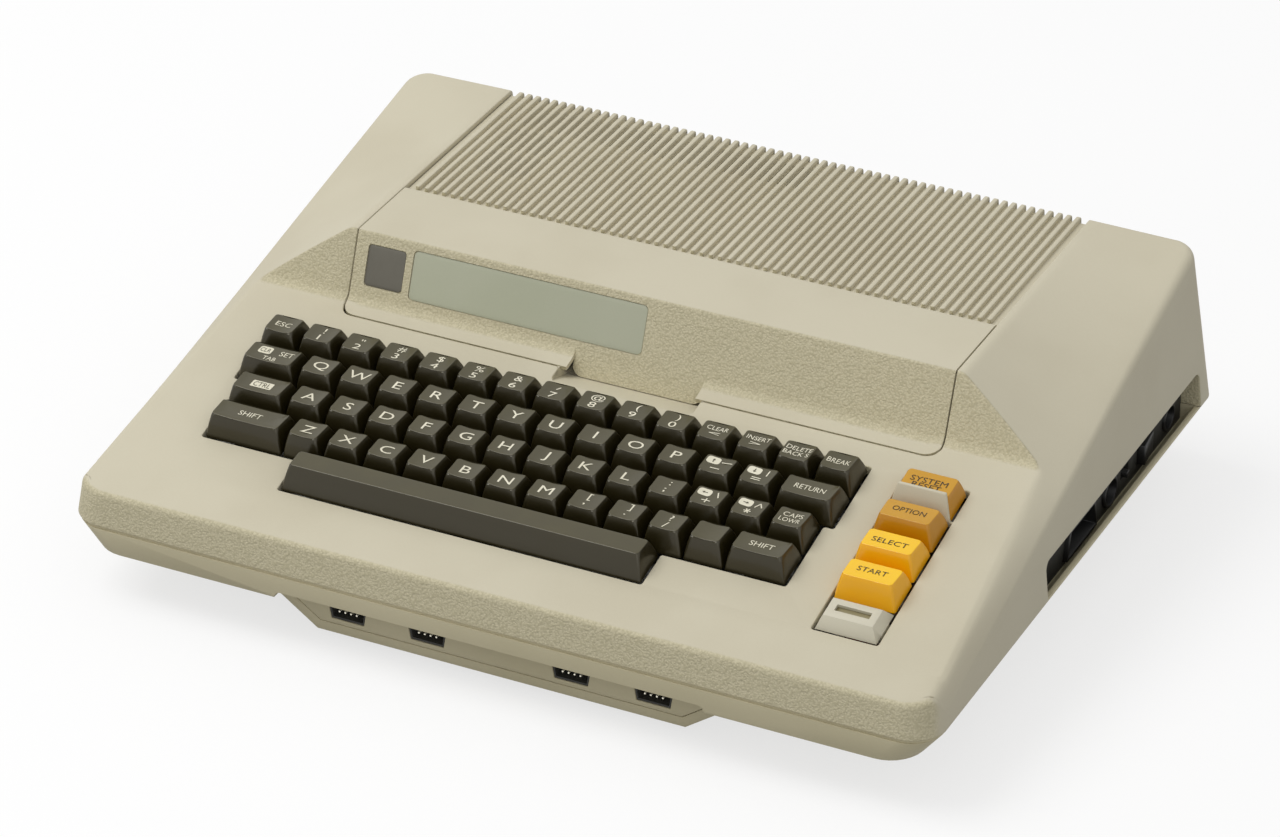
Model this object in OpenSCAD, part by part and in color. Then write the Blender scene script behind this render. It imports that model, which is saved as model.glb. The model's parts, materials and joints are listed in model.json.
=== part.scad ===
// Home computer with a sloped keyboard deck, a lift-up cartridge door, a ribbed vent cover,
// four front controller ports and a row of ports in the right-hand side.
// Origin: centre of the base. +X right, +Y to the back, +Z up. Millimetres.

/* [Case] */
// Overall width, across the seam between the two mouldings
case_w = 406.4; // [398:0.2:414]
// Overall depth, across the same seam
case_d = 317.5; // [312:0.5:324]
// Overall height, feet included
case_h = 114.3; // [111:0.1:118]
// How far each side wall leans in between seam and top
side_in = 7.8; // [5:0.1:11]
// Wall thickness of the mouldings
wall = 3; // [2.4:0.1:3.6]
// Height of the seam between top and bottom mouldings
seam_z = 36.8; // [35:0.1:38]
// Radius of the four upright corners
corner_r = 16; // [10:0.5:22]
// How far the rear wall leans in between seam and top
rear_lean = 9.85; // [6:0.05:13]
// Depth of the shadow groove along the seam
seam_groove = 1.2; // [0.6:0.1:1.8]

/* [Deck and hump] */
// Slope of the keyboard deck
deck_angle = 12.65; // [12:0.05:13.2]
// Height of the deck's front edge
deck_front_z = 52.05; // [51:0.05:53.5]
// How far the front band leans in between seam and deck
band_lean = 3; // [1.5:0.1:4.5]
// How far the deck's front corners are set in from the widest part of the case
deck_front_in = 4.4; // [2.8:0.1:8]
// How far the deck's rear corners are set in from the widest part of the case
deck_back_in = 16.2; // [11:0.1:21]
// Slope of the side edge that runs from the rear top corner to the front
edge_angle = 13.4; // [12.8:0.05:14]
// Slope of the brow, the face below the hump's front edge
brow_angle = 68.7; // [64:0.1:74]
// Place of the brow's top edge, behind the middle of the case
brow_top_y = 0; // [-4:0.1:4]
// Width of the flat top between the shoulders
hump_w = 287.2; // [284:0.2:292]

/* [Door] */
// Width of the cartridge door
door_w = 286; // [280:0.2:286.4]
// Thickness of the door's plate
door_t = 2.5; // [2:0.1:3]
// Length of the door's top, from the brow to its rear edge
door_top_l = 45.2; // [42:0.1:48]
// Length of the door's lip on the deck, in front of the brow's foot
lip_l = 8.6; // [6:0.1:11]
// Gap around the door and the vent cover
panel_gap = 0.6; // [0.4:0.1:0.9]
// Radius of the door's knuckle
knuckle_r = 3.4; // [3.2:0.1:3.8]
// Radius of the hinge pins
hinge_pin_r = 1.25; // [1:0.05:1.4]
// Radial clearance of the door on its pins
pin_clearance = 0.08; // [0.04:0.01:0.1]
// Length of each hinge pin
hinge_pin_l = 12; // [8:0.5:16]
// Width of the finger tab in the middle of the door
tab_w = 62; // [50:1:74]
// How far the tab reaches below the deck
tab_drop = 6; // [4:0.5:8]
// Free width of the finger pocket beside the tab
pocket_side = 3; // [2:0.5:6]
// Depth of the finger pocket
pocket_depth = 9; // [7:0.5:12]
// Length of the pocket in front of the door's lip
pocket_reach = 10; // [7:0.5:12]
// Width of the name plate
name_plate_w = 114; // [100:1:118]
// Height of the name plate
name_plate_h = 21.9; // [18:0.1:23]
// Side of the square badge plate
badge_w = 18.4; // [15:0.1:20]
// Thickness of both plates
plate_t = 0.6; // [0.4:0.1:1]
// Free edge around each plate in its recess
plate_gap = 0.3; // [0.2:0.1:0.6]

/* [Vent cover] */
// Number of ribs on the vent cover
rib_count = 64; // [48:1:66]
// Width of one rib
rib_w = 2.1; // [1.6:0.1:2.6]
// Depth of the grooves between the ribs
groove_depth = 2.1; // [1.4:0.1:2.2]
// Thickness of the vent cover, ribs included
cover_t = 3.2; // [3:0.1:4]
// How far the cover turns down over the back
cover_drop = 20; // [14:0.5:28]
// Plain margin at each side of the ribs
rib_margin = 3.4; // [2:0.1:6]
// Width of a vent slot
slot_w = 1.4; // [1:0.1:1.8]
// Length of a vent slot
slot_l = 20; // [14:0.5:22]
// Grooves that carry the long row of slots
slot_count = 32; // [20:1:40]
// Width of the ledges that carry the cover
ledge_w = 6; // [4:0.5:8]

/* [Keyboard] */
// Pitch of the keys
key_pitch = 19.05; // [18.8:0.01:19.2]
// Left edge of the first key, from the middle of the case
keys_left = -166; // [-170:0.1:-162]
// Back edge of the first row
keys_back = -35.25; // [-38:0.05:-33]
// Left edge of the console keys, from the left edge of the first key
console_x = 302.2; // [299:0.1:306]
// Width of the console keys, in key pitches
console_u = 1.5; // [1.4:0.05:1.6]
// Gap between the deck and the key cells
key_margin = 0.8; // [0.5:0.1:1.4]
// Gap between a cap and the edge of its cell
cap_gap = 0.45; // [0.3:0.05:0.6]
// Height of the caps over the deck
cap_top = 10.3; // [9:0.1:12]
// How far the caps reach below the deck
cap_sink = 1; // [0.5:0.1:2]
// How far a cap's top is set in at each side
cap_side_inset = 3.05; // [2.4:0.05:3.6]
// How far a cap's top is set back from the front of its cell
cap_front_inset = 4.5; // [3.5:0.1:5.5]
// How far a cap's top is set in at the back
cap_back_inset = 2.2; // [1.5:0.05:3]
// How far a cap's top drops towards the back
cap_drop = 2; // [1:0.1:3]
// Depth of the dish in a cap
dish_depth = 0.9; // [0.5:0.05:1.3]
// Wall of a cap
cap_wall = 1.5; // [1.2:0.1:1.8]
// Travel of a key
key_travel = 3.8; // [3.4:0.1:4]
// Side of a key's stem
stem_w = 4.6; // [4:0.1:5]
// Clearance of the stem in its housing
stem_clearance = 0.4; // [0.2:0.05:0.6]
// Side of a switch housing
housing_w = 12.4; // [11.6:0.1:12.8]
// Depth of the steel plate's top below the deck
plate_depth = 11; // [10.6:0.1:12]
// Thickness of the steel plate
steel_t = 1.5; // [1:0.1:2]
// Thickness of the circuit boards
board_t = 1.6; // [1.2:0.1:2]
// Height of the reset key's cap over the deck
reset_top = 8.1; // [6.5:0.1:9]
// Height of the guard in front of the reset key
guard_h = 10.6; // [8:0.1:11.5]
// Thickness of the guard
guard_t = 1.3; // [1:0.1:1.6]
// Height of the power light's box over the deck
lens_top = 5; // [4:0.1:7]

/* [Bottom] */
// Height of the lower edge of the front skirt
rim_z = 23.9; // [22:0.1:26]
// How far the rim leans in at each side
rim_side_lean = 10; // [7:0.5:12]
// How far the rim leans in at the front and back
rim_front_lean = 1.2; // [0.5:0.1:2.5]
// Height of the flat underside
belly_z = 5.6; // [4.5:0.1:7]
// How far the belly starts inside the rim
belly_step = 6; // [3:0.5:9]
// How far the flat underside is set in from the rim
belly_inset = 38; // [34:1:44]
// Radius of a rubber foot
foot_r = 9; // [7:0.5:12]
// Distance of the feet's middle from the side edges of the flat underside
foot_side_in = 19.2; // [14:0.2:28]
// Distance of the feet's middle from its front and rear edges
foot_end_in = 21.55; // [14:0.05:36]

/* [Controller ports] */
// Half width of the pod's lower edge
pod_bottom_x = 87; // [82:0.5:92]
// Half width of the pod at the rim's lower edge
pod_top_x = 112.5; // [106:0.5:118]
// How far the pod's face is set back from the front of the case
pod_setback = 12.75; // [10:0.25:16]
// Border between the pod's outline and its inset panel
pod_border = 4.4; // [3:0.1:6]
// Distance of the outer port pair from the middle
port_outer_x = 72.2; // [68:0.2:76]
// Distance of the inner port pair from the middle
port_inner_x = 34; // [30:0.2:40]
// Height of the ports' middle
port_z = 17.9; // [17:0.1:18.4]
// Width of a port's wide side
port_w = 19.4; // [18:0.1:21]
// Height of a port
port_h = 10.8; // [9.6:0.1:11.2]
// Depth of a port's cavity
port_depth = 11; // [10:0.5:14]
// Free length of the pins
pin_l = 6.4; // [5:0.1:6.6]
// Pitch of the pins in one row of a controller port
pin_pitch = 2.77; // [2.5:0.01:2.9]
// Distance of the two rows of pins
pin_rows = 2.84; // [2.5:0.01:3]

/* [Side ports] */
// Front end of the side recess
side_front_y = -36.5; // [-42:0.5:-30]
// Rear end of the side recess
side_rear_y = 140.5; // [136:0.5:144]
// Height of the recess's ceiling
side_top_z = 54.6; // [52:0.1:57]
// Height of the recess's floor
side_floor_z = 29; // [28:0.1:29.4]
// How far the port panel is set in from the widest part of the case
side_panel_in = 9.6; // [9.2:0.1:12]
// Thickness of the port panel
side_panel_t = 2.4; // [2:0.1:3]
// Height of the ports' middle
side_port_z = 38.4; // [38:0.1:40]
// Place of the serial port along the case
serial_y = 20; // [15:0.5:23]
// Width of the serial port
serial_w = 35; // [32:0.5:38]
// Height of the serial port
serial_h = 14.4; // [12:0.2:15]
// Place of the monitor jack along the case
monitor_y = 54; // [51:0.5:57]
// Radius of the monitor jack's socket
monitor_r = 6; // [5.5:0.1:6.2]
// Place of the channel switch along the case
channel_y = 73; // [70:0.5:76]
// Place of the power switch along the case
power_y = 95; // [91:0.5:100]
// Place of the power jack along the case
inlet_y = 124; // [118:0.5:129]
// Radius of the power jack's mouth
inlet_r = 5.2; // [4.6:0.1:6]

/* [Inside] */
// Width of a cartridge well
well_w = 69.5; // [66:0.5:73]
// Depth of a cartridge well, front to back
well_d = 22.6; // [20:0.2:24]
// Distance of each well from the middle
well_x = 70; // [64:1:76]
// Place of the wells' middle
well_y = 17; // [15:0.5:20]
// Height of the cartridge bay's floor
bay_floor_z = 70; // [66:0.5:73]
// Height of the wells' bottom
well_bottom_z = 32; // [28:0.5:38]
// Wall of the bay
bay_wall = 2; // [1.6:0.1:2.6]
// Number of plug-in memory modules
module_count = 4; // [2:1:4]
// Spacing of the modules
module_pitch = 14; // [12:0.5:14.5]
// Thickness of a module
module_t = 9; // [7:0.5:10]
// Height of the main board's top
board_z = 20.4; // [18:0.2:22]

/* [Hidden] */
$fn = 48;

u = key_pitch;
front_y0 = -case_d / 2;
deck_front_y = front_y0 + band_lean;
side_lean = side_in / (case_h - seam_z);
deck_front_x = case_w / 2 - deck_front_in;
deck_back_x = case_w / 2 - deck_back_in;
side_panel_x = case_w / 2 - side_panel_in;
band_stations = 4;
shoulder_stations = 8;
over = 1;
far = 60;

// ---- outline of the case, for a surface set in by t ----
function lerp(a, b, f) = a + (b - a) * f;
function side_x(z, t = 0) = case_w / 2 - t - (z - seam_z) * side_lean;
function front_y(z, t = 0) = front_y0 + t + (z - seam_z) * band_lean / (deck_front_z - seam_z);
function rear_y(z, t = 0) = case_d / 2 - t - (z - seam_z) * rear_lean / (case_h - seam_z);
function deck_z(y, t = 0) = deck_front_z + (y - deck_front_y) * tan(deck_angle) - t / cos(deck_angle);
function brow_y(z, t = 0) = brow_top_y + t / sin(brow_angle) - (case_h - z) / tan(brow_angle);
function foot_y(t = 0) = brow_y(deck_z(0, t), t) / (1 - tan(deck_angle) / tan(brow_angle));
function foot(t = 0) = [foot_y(t), deck_z(foot_y(t), t)];
function edge_z(y, t = 0) = case_h - t - (rear_y(case_h - t, t) - y) * tan(edge_angle);
function front_meet(z0, slope, t) =
    let (k = band_lean / (deck_front_z - seam_z), z = (z0 + slope * front_y(0, t)) / (1 - slope * k))
    [front_y(z, t), z];
function deck_corner(t) = front_meet(deck_z(0, t), tan(deck_angle), t);
function edge_corner(t) = front_meet(edge_z(0, t), tan(edge_angle), t);
function edge_point(y, t) = [side_x(edge_z(y, t), t), y, edge_z(y, t)];

function inner_line(t) = let (
    g = [deck_front_x - t, deck_corner(t)[0], deck_corner(t)[1]],
    f = [deck_back_x - t, foot(t)[0], foot(t)[1]],
    b = [hump_w / 2, brow_y(case_h - t, t), case_h - t],
    a = [hump_w / 2, rear_y(case_h - t, t), case_h - t])
    concat([for (i = [0 : band_stations]) lerp(g, f, i / band_stations)],
           [for (i = [0 : shoulder_stations]) lerp(b, a, i / shoulder_stations)]);
function outer_line(t) = concat(
    [for (i = [0 : band_stations])
        edge_point(lerp(edge_corner(t)[0], foot(t)[0], i / band_stations), t)],
    [for (i = [0 : shoulder_stations])
        edge_point(lerp(brow_y(case_h - t, t), rear_y(case_h - t, t), i / shoulder_stations), t)]);
function half_points(t, z0) = concat(
    [[side_x(z0, t), front_y(z0, t), z0], [side_x(z0, t), rear_y(z0, t), z0]],
    inner_line(t), outer_line(t));
function flip(points) = [for (p = points) [-p[0], p[1], p[2]]];
function reversed(list) = [for (i = [len(list) - 1 : -1 : 0]) list[i]];

// Solid of the top moulding's outer surface, set in by t, from height z0 up
module hump_solid(t, z0) {
    n = band_stations + shoulder_stations + 2;
    m = 2 + 2 * n;
    strip = [for (k = [0 : n - 2]) each [
        [2 + k, 3 + k, 3 + n + k], [2 + k, 3 + n + k, 2 + n + k]]];
    side = concat([for (k = [0 : n - 2]) [0, 2 + n + k, 3 + n + k]], [[0, 1 + 2 * n, 1]]);
    right = concat(strip, side);
    left = [for (face = right) [for (i = reversed(face)) i + m]];
    middle = concat(
        [for (i = [0 : n - 2]) [m + 2 + i, m + 3 + i, 3 + i, 2 + i]],
        [[m, m + 2 + n, 2 + n, 0], [m + 2 + n, m + 2, 2, 2 + n],
         [1, 1 + 2 * n, 1 + n, m + 1 + n, m + 1 + 2 * n, m + 1],
         [m, 0, 1, m + 1]]);
    polyhedron(concat(half_points(t, z0), flip(half_points(t, z0))), concat(right, left, middle));
}

// Upright prism with rounded corners, centred on the base
module plan_prism(w, d, r, z0, z1) {
    translate([0, 0, z0]) linear_extrude(height = z1 - z0) {
        square([w - 2 * r, d], center = true);
        square([w, d - 2 * r], center = true);
        for (sx = [-1, 1], sy = [-1, 1])
            translate([sx * (w / 2 - r), sy * (d / 2 - r)]) circle(r = r);
    }
}

// Puts children in the keyboard's frame: X right, Y up the deck, Z out of the deck
module on_deck() {
    translate([keys_left, keys_back, deck_z(keys_back)]) rotate([deck_angle, 0, 0]) children();
}

// Extrudes a Y-Z outline across the case, centred
module across(w) {
    rotate([90, 0, 90]) translate([0, 0, -w / 2]) linear_extrude(height = w) children();
}

// Box from corner to corner
module block(a, b) {
    translate(a) cube(b - a);
}

// ---- door, cover and their opening ----
lip_front = foot()[0] - lip_l * cos(deck_angle);
hinge = [brow_top_y + door_top_l - knuckle_r, case_h - knuckle_r];
// The lip's front face follows the arc about the hinge
lip_lean = (hinge[1] - deck_z(lip_front)) / (hinge[0] - lip_front);
cove_r = 7;
opening_w = door_w + 2 * panel_gap;
cover_front = brow_top_y + door_top_l + panel_gap;
rear_tilt = atan(rear_lean / (case_h - seam_z));
cover_bottom_z = case_h - cover_drop;

function deck_point(y, t = 0) = [y, deck_z(y, t)];
// Arc that blends the deck into the brow, for a surface set in by t
function cove(t) = let (
    half = (180 - (brow_angle - deck_angle)) / 2,
    r = cove_r + t,
    reach = cove_r / tan(half),
    start = foot(t) - reach * [cos(deck_angle), sin(deck_angle)],
    centre = start + cove_r * [-sin(deck_angle), cos(deck_angle)])
    [for (i = [0 : 4]) let (a = deck_angle - 90 + (brow_angle - deck_angle) * i / 4)
        centre + cove_r * [cos(a), sin(a)]];

module door_profile() {
    polygon(concat(
        [deck_point(lip_front)], cove(0),
        [[brow_top_y, case_h], [hinge[0], case_h], [hinge[0], case_h - door_t],
         [brow_y(case_h - door_t, door_t), case_h - door_t]],
        reversed(cove(door_t)),
        [deck_point(lip_front + door_t * lip_lean, door_t)]));
}

module opening_profile() {
    y = lip_front - panel_gap;
    rise = 12;
    polygon([
        deck_point(y) - rise * [-lip_lean, 1], deck_point(y) + rise * [-lip_lean, 1],
        [y - rise, case_h + far], [case_d, case_h + far], [case_d, cover_bottom_z - panel_gap],
        [rear_y(case_h) - far, cover_bottom_z - panel_gap],
        [rear_y(case_h) - far, deck_z(y) - rise]]);
}

// Places children on the brow: X across, Y up the face from its foot, Z outwards
module on_brow() {
    translate([0, foot()[0], foot()[1]]) rotate([brow_angle, 0, 0]) children();
}
brow_l = (case_h - foot()[1]) / sin(brow_angle);
plate_y = (brow_l + cove_r * 0.35) / 2;
badge_x = -name_plate_w - 0.4 - 4 - badge_w / 2;

module cartridge_door() color([0.80, 0.77, 0.68]) difference() {
    union() {
        difference() {
            across(door_w) door_profile();
            block([-tab_w / 2, lip_front - far, deck_z(lip_front) - far],
                  [tab_w / 2, foot()[0], foot()[1] + cove_r]);
        }
        on_brow() block([-tab_w / 2, -tab_drop, -door_t], [tab_w / 2, cove_r, 0]);
        translate([-door_w / 2, hinge[0], hinge[1]]) rotate([0, 90, 0])
            cylinder(r = knuckle_r, h = door_w);
    }
    translate([-door_w / 2 - over, hinge[0], hinge[1]]) rotate([0, 90, 0])
        cylinder(r = hinge_pin_r + pin_clearance, h = door_w + 2 * over);
    on_brow() {
        plate_recess(-name_plate_w / 2 - 0.4, name_plate_w, name_plate_h);
        plate_recess(badge_x, badge_w, badge_w);
    }
}

module plate_recess(x, w, h) {
    block([x - w / 2 - plate_gap, plate_y - h / 2 - plate_gap, -plate_t],
          [x + w / 2 + plate_gap, plate_y + h / 2 + plate_gap, over]);
}

module name_plate() color([0.68, 0.70, 0.60]) on_brow()
    translate([-name_plate_w - 0.4, plate_y - name_plate_h / 2, -plate_t])
        cube([name_plate_w, name_plate_h, plate_t]);

module badge_plate() color([0.33, 0.32, 0.29]) on_brow()
    translate([badge_x - badge_w / 2, plate_y - badge_w / 2, -plate_t])
        cube([badge_w, badge_w, plate_t]);

module door_hinge_pins() color("silver") for (s = [-1, 1])
    translate([s * (opening_w / 2 + ear_w - 0.6) - (s > 0 ? hinge_pin_l : 0), hinge[0], hinge[1]])
        rotate([0, 90, 0]) cylinder(r = hinge_pin_r, h = hinge_pin_l);

// ---- ribbed vent cover ----
rib_span = door_w - 2 * rib_margin;
rib_pitch = (rib_span - rib_w) / (rib_count - 1);
function groove_x(i) = -rib_span / 2 + rib_w + i * rib_pitch;
slot_rear = rear_y(case_h) - 8;
slot_gap = 3;
first_slot = 3;

// Outline of the cover from the side, its outer face set in by t
module cover_profile(t) {
    y = rear_y(case_h);
    down = cover_drop * [tan(rear_tilt), -1];
    in = [-1, 0] / cos(rear_tilt);
    polygon([[cover_front, case_h - t], [y, case_h] + t * in + [0, -t], [y, case_h] + t * in + down,
             [y, case_h] + cover_t * in + down, [y - cover_t, case_h - cover_t],
             [cover_front, case_h - cover_t]]);
}

module ribs() {
    translate([0, 0, case_h - cover_drop - over]) linear_extrude(height = cover_drop + 2 * over)
        for (i = [0 : rib_count - 1]) translate([groove_x(i) - rib_w, cover_front])
            square([rib_w, case_d]);
}

module vent_slots() {
    x0 = (rib_pitch - rib_w - slot_w) / 2;
    translate([0, 0, case_h - cover_t - over]) linear_extrude(height = cover_t + over)
        for (row = [0 : 2], i = [first_slot : first_slot + (row == 0 ? slot_count - 1 : 5)])
            translate([groove_x(i) + x0, slot_rear - row * (slot_l + slot_gap) - slot_l])
                square([slot_w, slot_l]);
}

module memory_cover() color([0.80, 0.77, 0.68]) {
    difference() {
        union() {
            across(door_w) cover_profile(groove_depth);
            intersection() {
                across(rib_span) cover_profile(0);
                ribs();
            }
        }
        vent_slots();
    }
    for (s = [-1, 1]) {
        block([s * latch_x - 6, cover_front + 5.5, latch_z - 2.4],
              [s * latch_x + 6, cover_front + 8.5, case_h - cover_t + 0.5]);
        block([s * latch_x - 6, cover_front + 0.6, latch_z - 2.4],
              [s * latch_x + 6, cover_front + 6, latch_z + 0.5]);
    }
}

// ---- cover latches: a round head with a wing that turns over the cover's tab ----
latch_x = 122;
latch_y = 36;
latch_r = 5;
latch_z = hinge[1] - knuckle_r - 6;
latch_wing = 14;

module cover_latch(s) color([0.2, 0.2, 0.18]) translate([s * latch_x, latch_y, latch_z]) {
    cylinder(r = latch_r, h = 4);
    translate([0, -1.5, 1]) cube([latch_wing, 3, 3]);
    translate([0, 0, -4]) cylinder(r = 2.4, h = 4);
}

module left_cover_latch() cover_latch(-1);
module right_cover_latch() mirror([1, 0, 0]) cover_latch(-1);

// ---- keys ----
cap_z0 = -cap_sink;
keys_w = 15 * u;

// Frustum over a cell of width w; its faces are set in by t and its top by tt
module cap_form(w, zt, t, tt, front, back, side, drop = 0, toe = 0) {
    z0 = t > 0 ? cap_z0 - over : cap_z0;
    g = cap_gap + t;
    intersection() {
        rotate([90, 0, 0]) linear_extrude(height = u)
            polygon([[g, z0], [w - g, z0], [w - side - t, zt - tt], [side + t, zt - tt]]);
        rotate([90, 0, 90]) linear_extrude(height = w)
            polygon([[-g, z0], [-back - t, zt - drop - tt], [-u + front + t, zt - tt],
                     [-u + g + toe, z0]]);
    }
}

stem_depth = 5.6;
cap_front_run = u - cap_front_inset - cap_back_inset;

// One key: cell left edge at x units, row 0 at the back, width in units
module key(x, row, units, zt = cap_top, dished = true, front = cap_front_inset,
           back = cap_back_inset, drop = cap_drop, toe = 0) {
    w = units * u;
    chord = w - 2 * cap_side_inset;
    r = chord * chord / 8 / dish_depth + dish_depth / 2;
    dish = dished ? dish_depth : 0;
    tt = cap_wall + dish;
    tilt = atan(drop / (u - front - back));
    translate([x * u, -row * u, 0]) {
        difference() {
            cap_form(w, zt, 0, 0, front, back, cap_side_inset, drop, toe);
            cap_form(w, zt, cap_wall, tt, front, back, cap_side_inset, drop, toe);
            if (dished) translate([w / 2, -u + front, zt]) rotate([-90 - tilt, 0, 0])
                translate([0, dish_depth - r, -u]) cylinder(r = r, h = 3 * u, $fn = 96);
        }
        translate([w / 2 - stem_w / 2, -u / 2 - stem_w / 2, -stem_depth])
            cube([stem_w, stem_w, stem_depth + zt - drop / 2 - dish - cap_wall / 2 - 0.2]);
    }
}

module key_row(x, row, count) color([0.22, 0.21, 0.18]) on_deck()
    for (i = [0 : count - 1]) key(x + i, row, 1);

module esc_key() key_row(0, 0, 1);
module number_keys_left() key_row(1, 0, 6);
module number_keys_right() key_row(7, 0, 7);
module break_key() key_row(14, 0, 1);
module tab_key() color([0.22, 0.21, 0.18]) on_deck() key(0, 1, 1.5);
module upper_letter_keys_left() key_row(1.5, 1, 5);
module upper_letter_keys_right() key_row(6.5, 1, 7);
module return_key() color([0.22, 0.21, 0.18]) on_deck() key(13.5, 1, 1.5);
module control_key() color([0.22, 0.21, 0.18]) on_deck() key(0.25, 2, 1.5);
module home_letter_keys_left() key_row(1.75, 2, 5);
module home_letter_keys_right() key_row(6.75, 2, 7);
module caps_key() key_row(13.75, 2, 1);
module left_shift_key() color([0.22, 0.21, 0.18]) on_deck() key(0.25, 3, 2);
module lower_letter_keys() key_row(2.25, 3, 11);
module right_shift_key() color([0.22, 0.21, 0.18]) on_deck() key(13.25, 3, 1.5);
module space_bar() color([0.22, 0.21, 0.18]) on_deck()
    key(space_left, 4, space_u, cap_top - 0.5, false, cap_front_inset + 1.5, drop = 1);
space_left = 2.75;
space_u = 9;

module console_key(row) on_deck() translate([console_x, 0, 0])
    key(0, row, console_u, dished = false);
module reset_key() color([0.78, 0.50, 0.12]) on_deck() translate([console_x, 0, 0])
    key(0, 0, console_u, reset_top, false, guard_foot + guard_lean * reset_top + 0.5, 1.2, 0.4,
        guard_foot + 0.5 - cap_gap - guard_lean * cap_sink);
module option_key() color([0.87, 0.60, 0.15]) console_key(1);
module select_key() color([0.98, 0.76, 0.05]) console_key(2);
module start_key() color([0.98, 0.76, 0.05]) console_key(3);

// The guard is a thin leaning plate: its foot's depth, and its lean per unit of height
guard_lean = 0.46;
guard_foot = guard_t + 0.1;
lens_wall = 1.6;
window_w = 15.6;
window_d = 3.6;

module lens_form(t) {
    cap_form(console_u * u, lens_top, t, t, cap_front_inset - 0.6, cap_back_inset + 2.4, 3.2);
}

module power_light_lens() color([0.86, 0.84, 0.76]) on_deck()
    translate([console_x, -4 * u, 0]) {
        difference() {
            lens_form(0);
            lens_form(lens_wall);
            translate([console_u * u / 2 - window_w / 2, -u / 2 - window_d / 2, 0])
                cube([window_w, window_d, far]);
        }
        for (x = [cap_gap, console_u * u - cap_gap - 1.3])
            translate([x, -u / 2 - 4, -plate_depth]) cube([1.3, 8, plate_depth + cap_z0 + 0.5]);
    }

module power_led() color([0.75, 0.15, 0.1]) on_deck()
    translate([console_x + console_u * u / 2, -4.5 * u, -plate_depth]) {
        cylinder(r = 5, h = 8);
        translate([0, 0, 8]) cylinder(r = 2.5, h = 4.5);
    }

// Cells of the keyboard, each [left, row, units]
switch_cells = concat(
    [for (i = [0 : 14]) [i, 0, 1]],
    [[0, 1, 1.5]], [for (i = [0 : 11]) [1.5 + i, 1, 1]], [[13.5, 1, 1.5]],
    [[0.25, 2, 1.5]], [for (i = [0 : 11]) [1.75 + i, 2, 1]], [[13.75, 2, 1]],
    [[0.25, 3, 2]], [for (i = [0 : 10]) [2.25 + i, 3, 1]], [[13.25, 3, 1.5]],
    [[space_left, 4, space_u]],
    [for (row = [0 : 3]) [console_x / u, row, console_u]]);

module key_switch_housings() color([0.12, 0.12, 0.12]) on_deck() for (c = switch_cells) {
    top = -3.4;
    w = stem_w + 2 * stem_clearance;
    translate([(c[0] + c[2] / 2) * u, -(c[1] + 0.5) * u, -plate_depth]) difference() {
        translate([-housing_w / 2, -housing_w / 2, 0])
            cube([housing_w, housing_w, plate_depth + top]);
        translate([-w / 2, -w / 2, plate_depth - stem_depth - key_travel - stem_clearance])
            cube([w, w, far]);
    }
}

plate_left = -10;
plate_right = console_x + console_u * u + 10;
plate_front = -5 * u - 3;
plate_back = 4;

module keyboard_plate() color([0.5, 0.5, 0.5]) on_deck()
    block([plate_left, plate_front, -plate_depth - steel_t], [plate_right, plate_back, -plate_depth]);

module keyboard_board() color([0.1, 0.35, 0.15]) on_deck()
    block([plate_left + 4, plate_front + 4, -plate_depth - steel_t - board_t],
          [plate_right - 4, plate_back - 4, -plate_depth - steel_t]);

// Outline of the holes in the deck, cell by cell
module key_holes() {
    m = key_margin;
    for (r = [[0, 0, 15, 2], [0.25, 2, 14.5, 2], [space_left, 4, space_u, 1],
              [console_x / u, 0, console_u, 5]])
        translate([r[0] * u - m, -(r[1] + r[3]) * u - m])
            square([r[2] * u + 2 * m, r[3] * u + 2 * m]);
}

// ---- top moulding ----
screw_front = [case_w / 2 - 53.2, front_y0 + 9.75];
screw_rear = [case_w / 2 - 29.2, case_d / 2 - 18.75];
screw_places = [for (s = [-1, 1], p = [screw_front, screw_rear]) [s * p[0], p[1]]];
boss_r = 4.2;
pilot_r = 1.5;
post_places = [[-6, -12], [-6, -84], [294.4, -12], [294.4, -84], [plate_right - 5, -12],
               [plate_right - 5, -84]];
gland_x = -120;
gland_z = 50;
gland_r = 5;

module shell_box(t, z0, z1) plan_prism(case_w - 2 * t, case_d - 2 * t, corner_r - t, z0, z1);

module case_form(t, z0) intersection() {
    hump_solid(t, z0);
    shell_box(t, z0 - over, case_h + over);
}

module top_case() color([0.80, 0.77, 0.68]) difference() {
    union() {
        difference() {
            union() {
                difference() {
                    case_form(0, seam_z);
                    case_form(wall, seam_z - over);
                }
                intersection() {
                    case_form(wall / 2, seam_z);
                    top_bosses();
                }
            }
            on_deck() translate([0, 0, -plate_depth / 2]) linear_extrude(height = far) key_holes();
            across(opening_w) opening_profile();
            block([side_panel_x - side_panel_t - 1, side_front_y, 0],
                  [case_w, side_rear_y, side_top_z]);
            for (p = screw_places) translate([p[0], p[1], seam_z - over])
                cylinder(r = pilot_r, h = 12);
            on_deck() pocket_space(0);
            gland_axis() translate([0, 0, -far / 2]) cylinder(r = gland_r, h = far);
        }
        for (s = [-1, 1]) hinge_ear(s);
        for (s = [-1, 1]) cover_ledge(s);
        reset_guard();
        intersection() {
            case_form(wall / 2, seam_z);
            side_liner();
        }
        intersection() {
            case_form(wall / 2, seam_z);
            on_deck() pocket_wall();
        }
    }
    for (s = [-1, 1]) translate([s * (opening_w / 2 + ear_w - 0.6), hinge[0], hinge[1]])
        rotate([0, -90 * s, 0]) cylinder(r = hinge_pin_r, h = 4);
}

// Walls of the finger pocket
module pocket_wall() difference() {
    pocket_space(wall - 0.5);
    pocket_space(0);
    translate([0, 0, far - wall / 2]) cube(2 * far, center = true);
    translate([0, foot_v - lip_l - panel_gap - 0.5, -door_t - 0.6]) cube(2 * case_w);
}

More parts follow.
